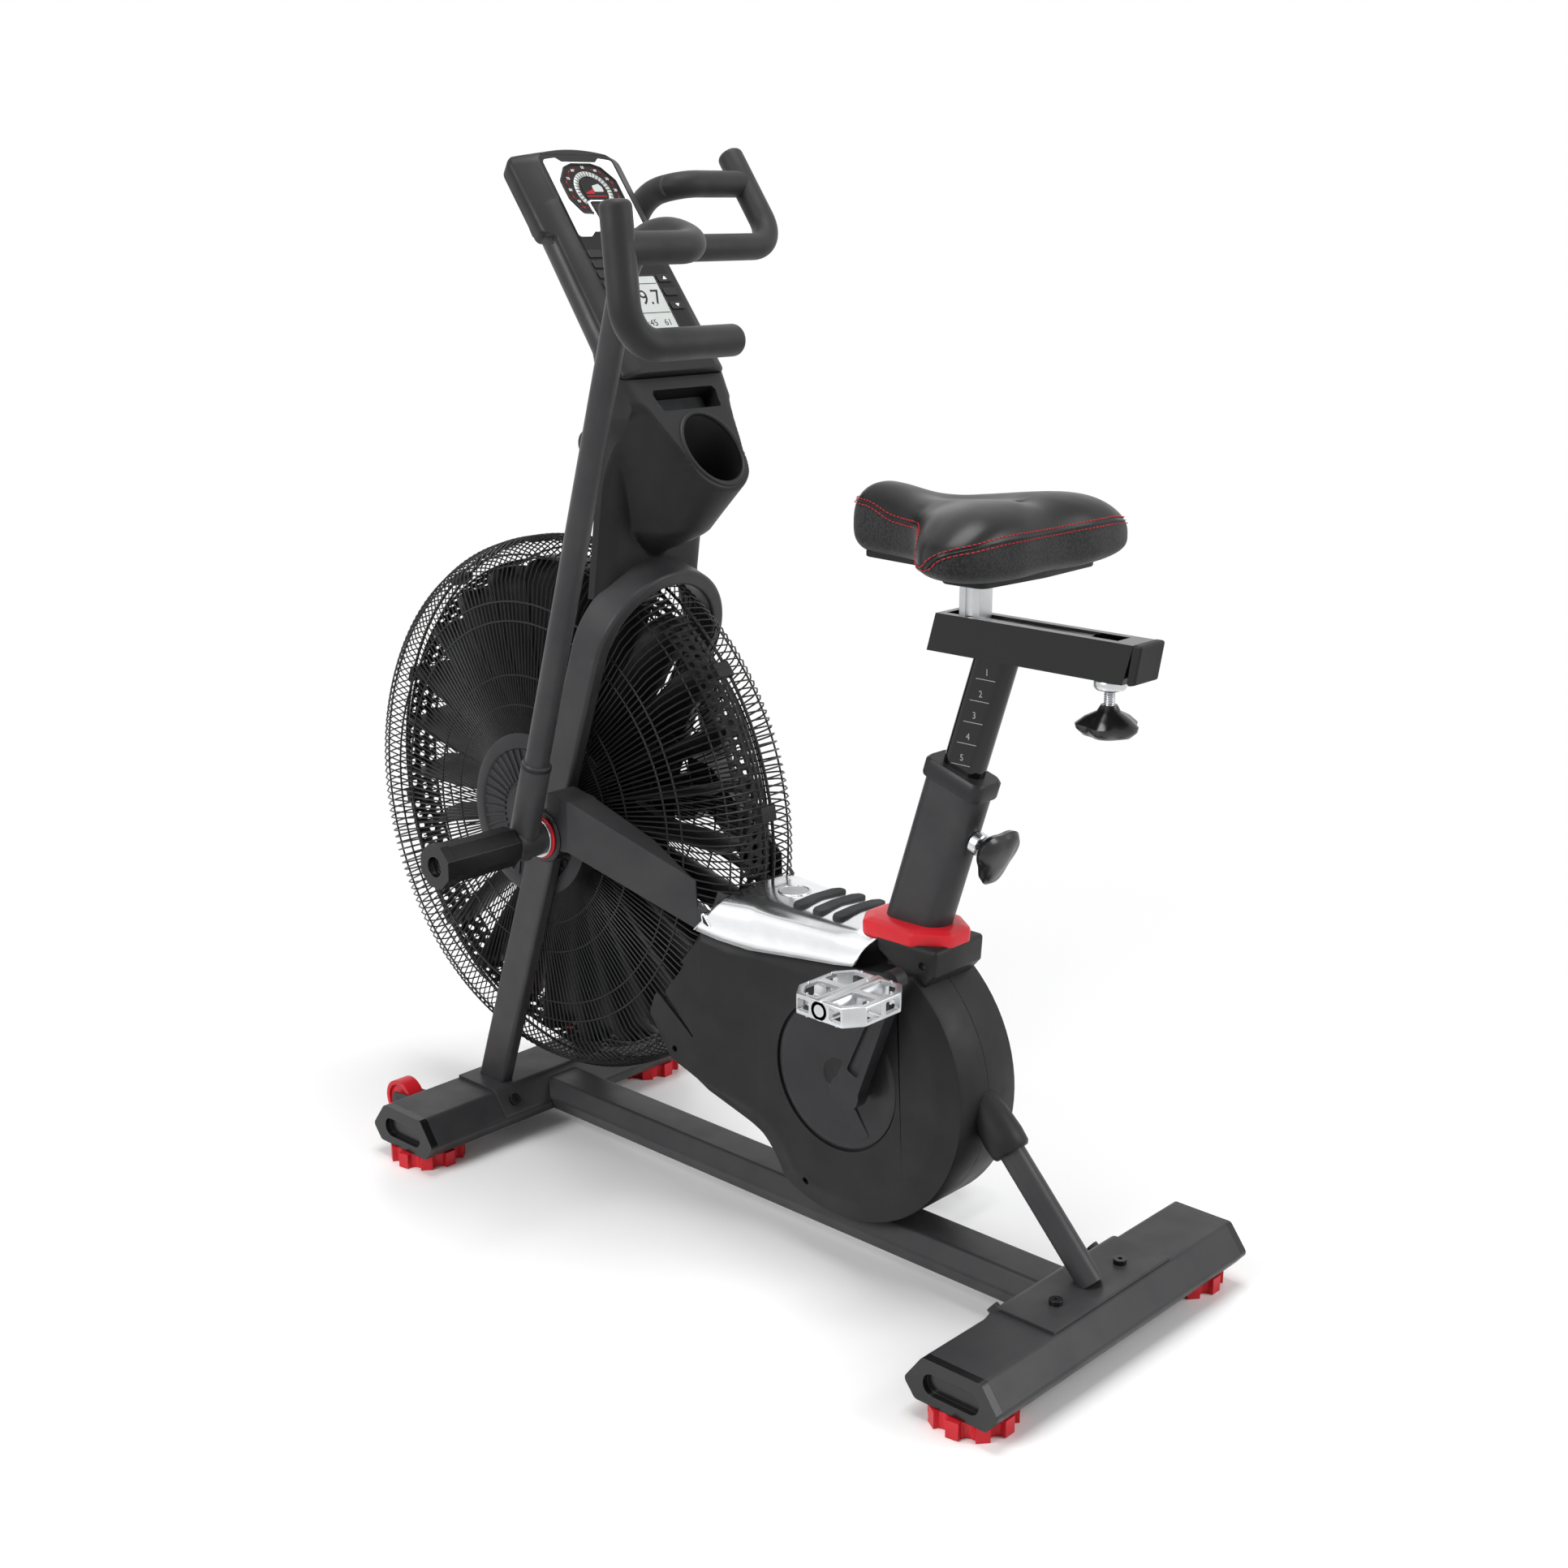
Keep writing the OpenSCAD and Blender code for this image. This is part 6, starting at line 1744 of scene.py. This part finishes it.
def seen_by(tree: bpy.types.NodeTree, *rays: str) -> bpy.types.NodeSocket:
    """1 for rays of the kinds named, such as "Is Camera Ray": the greatest of those outputs.

    Args:
        tree: the material's or the world's tree.
        rays: outputs of a Light Path node.

    Returns:
        The socket that holds it.
    """
    path = add_node(tree, "ShaderNodeLightPath", {}, {})
    found = path.outputs[rays[0]]
    for ray in rays[1:]:
        both = {0: found, 1: path.outputs[ray]}
        found = add_node(tree, "ShaderNodeMath", {"operation": "MAXIMUM"}, both).outputs[0]
    return found


@dataclass
class Studio:
    """A pale floor that fades to white, soft lamps, and the camera. Places in metres.

    Attributes:
        eye: where the camera stands.
        azimuth: how far round it stands from the bike's left side, degrees.
        elevation: how far down it looks, degrees.
        roll: how far it is turned about its own line of sight, degrees.
        lamps: for each lamp its name, place, target, size and watts.
        floor_radius: how far the floor reaches.
        fade: distances from the bike between which the floor turns plain white.
    """

    eye: tuple = (1.7953, -1.8258, 1.2830)
    azimuth: float = 42.754
    elevation: float = 15.695
    roll: float = 0.118
    lamps: tuple = (
        ("key", (-0.4, -3.4, 2.6), (0, 0, 0.6), (1.8, 1.8), 110),
        ("top", (0.2, 0.0, 4.2), (0, 0, 0.5), (2.0, 2.0), 100),
        ("rear", (3.2, 1.6, 2.2), (0, 0, 0.6), (1.4, 2.2), 70),
    )
    floor_radius: float = 12
    fade: tuple = (0.8, 1.7)

    def build_camera(self) -> None:
        """A 48 mm lens on a 36 mm square sensor, aimed by azimuth, elevation and roll."""
        data = bpy.data.cameras.new("camera")
        data.lens, data.sensor_width, data.clip_start, data.clip_end = 48, 36, 0.05, 60
        camera = bpy.data.objects.new("camera", data)
        bpy.context.scene.collection.objects.link(camera)
        a, e = math.radians(self.azimuth), math.radians(self.elevation)
        back = Vector((math.sin(a) * math.cos(e), -math.cos(a) * math.cos(e), math.sin(e)))
        camera.location = self.eye
        camera.rotation_mode = "QUATERNION"
        aim = (-back).to_track_quat("-Z", "Y")
        camera.rotation_quaternion = aim @ Quaternion((0, 0, 1), math.radians(self.roll))
        bpy.context.scene.camera = camera

    def build_lamp(self, name: str, place: tuple, target: tuple, size: tuple, watts: float) -> None:
        """A rectangular soft lamp aimed at a point.

        Args:
            name: the lamp's name.
            place: where it hangs.
            target: what it is aimed at.
            size: its width and height.
            watts: its power.
        """
        data = bpy.data.lights.new(name, "AREA")
        data.shape, data.size, data.size_y, data.energy = "RECTANGLE", size[0], size[1], watts
        lamp = bpy.data.objects.new(name, data)
        bpy.context.scene.collection.objects.link(lamp)
        lamp.location = place
        lamp.rotation_mode = "QUATERNION"
        lamp.rotation_quaternion = (Vector(target) - Vector(place)).to_track_quat("-Z", "Y")

    def build_floor(self) -> None:
        """A round floor: matt and pale near the bike, plain white further off."""
        rim = np.column_stack([circle(self.floor_radius, 64), np.full(64, -0.0005)])
        mesh = bpy.data.meshes.new("floor")
        mesh.from_pydata(rim.tolist(), [], [list(range(len(rim)))])
        floor = bpy.data.objects.new("floor", mesh)
        bpy.context.scene.collection.objects.link(floor)
        made = bpy.data.materials.new("studio_floor")
        made.use_nodes = True
        tree = made.node_tree
        tree.nodes.clear()
        place = add_node(tree, "ShaderNodeTexCoord", {}, {}).outputs["Object"]
        far = add_node(tree, "ShaderNodeVectorMath", {"operation": "LENGTH"}, {0: place}).outputs["Value"]
        edges = {"From Min": self.fade[0], "From Max": self.fade[1], "interpolation_type": "SMOOTHSTEP"}
        fade = add_node(tree, "ShaderNodeMapRange", edges, {"Value": far})
        pale = {"Base Color": linear("#f6f6f6"), "Roughness": 0.32}
        matt = add_node(tree, "ShaderNodeBsdfPrincipled", pale, {})
        white = add_node(tree, "ShaderNodeEmission", {"Color": (1, 1, 1, 1), "Strength": 1.0}, {})
        plain = seen_by(tree, "Is Camera Ray", "Is Glossy Ray")
        share = add_node(tree, "ShaderNodeMath", {"operation": "MULTIPLY"}, {0: plain, 1: fade.outputs[0]})
        both = {0: share.outputs[0], 1: matt.outputs[0], 2: white.outputs[0]}
        mix = add_node(tree, "ShaderNodeMixShader", {}, both)
        add_node(tree, "ShaderNodeOutputMaterial", {}, {"Surface": mix.outputs[0]})
        mesh.materials.append(made)

    def build_world(self) -> None:
        """White to the camera and to reflections, and a softer grey as light."""
        world = bpy.data.worlds.new("studio")
        bpy.context.scene.world = world
        world.use_nodes = True
        tree = world.node_tree
        tree.nodes.clear()
        plain = seen_by(tree, "Is Camera Ray", "Is Transmission Ray", "Is Glossy Ray")
        soft = add_node(tree, "ShaderNodeBackground", {"Color": (1, 1, 1, 1), "Strength": 0.36}, {})
        white = add_node(tree, "ShaderNodeBackground", {"Color": (1, 1, 1, 1), "Strength": 1.0}, {})
        mix = add_node(tree, "ShaderNodeMixShader", {}, {0: plain, 1: soft.outputs[0], 2: white.outputs[0]})
        add_node(tree, "ShaderNodeOutputWorld", {}, {"Surface": mix.outputs[0]})

    def build(self) -> None:
        """Camera, floor, lamps and world."""
        bpy.context.scene.view_settings.view_transform = "Standard"
        self.build_camera()
        self.build_floor()
        self.build_world()
        for lamp in self.lamps:
            self.build_lamp(*lamp)


def dress_cad(frame: dict) -> None:
    """Gives each CAD node that still shows the finish of its slot, or one of its own.
    """
    own = {"stabiliser_end_caps": GLOSSY_ABS, "foot_pegs": GLOSSY_ABS, "frame_bolts": GLOSSY_ABS,
           "drive_belt": RUBBER, "crank": SMOOTH_ABS, "saddle_clamp": CAST_ALUMINIUM}
    for row in frame["record"]["subparts"]:
        node = frame["nodes"][row["node"]]
        finish = own.get(row["node"], SLOT_FINISH[row["material_slot"]])
        node.data.materials.clear()
        node.data.materials.append(material(finish))
        log.info("%s: %s", row["node"], finish.name)


def corners(box: tuple) -> list:
    """A box as plain lists."""
    return [list(box[0]), list(box[1])]


def main() -> None:
    """Builds the looks round the frame."""
    logging.basicConfig(level=logging.INFO, format="%(message)s")
    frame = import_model()
    dress_cad(frame)
    Studio().build()
    FanCage().build()
    SwingArm(LEFT, 16.4).build()
    SwingArm(RIGHT, -13.3).build()
    build_pivots()
    Saddle().build()
    SeatPost().build()
    DriveEnd().build()
    Console().build()


if __name__ == "__main__":
    main()
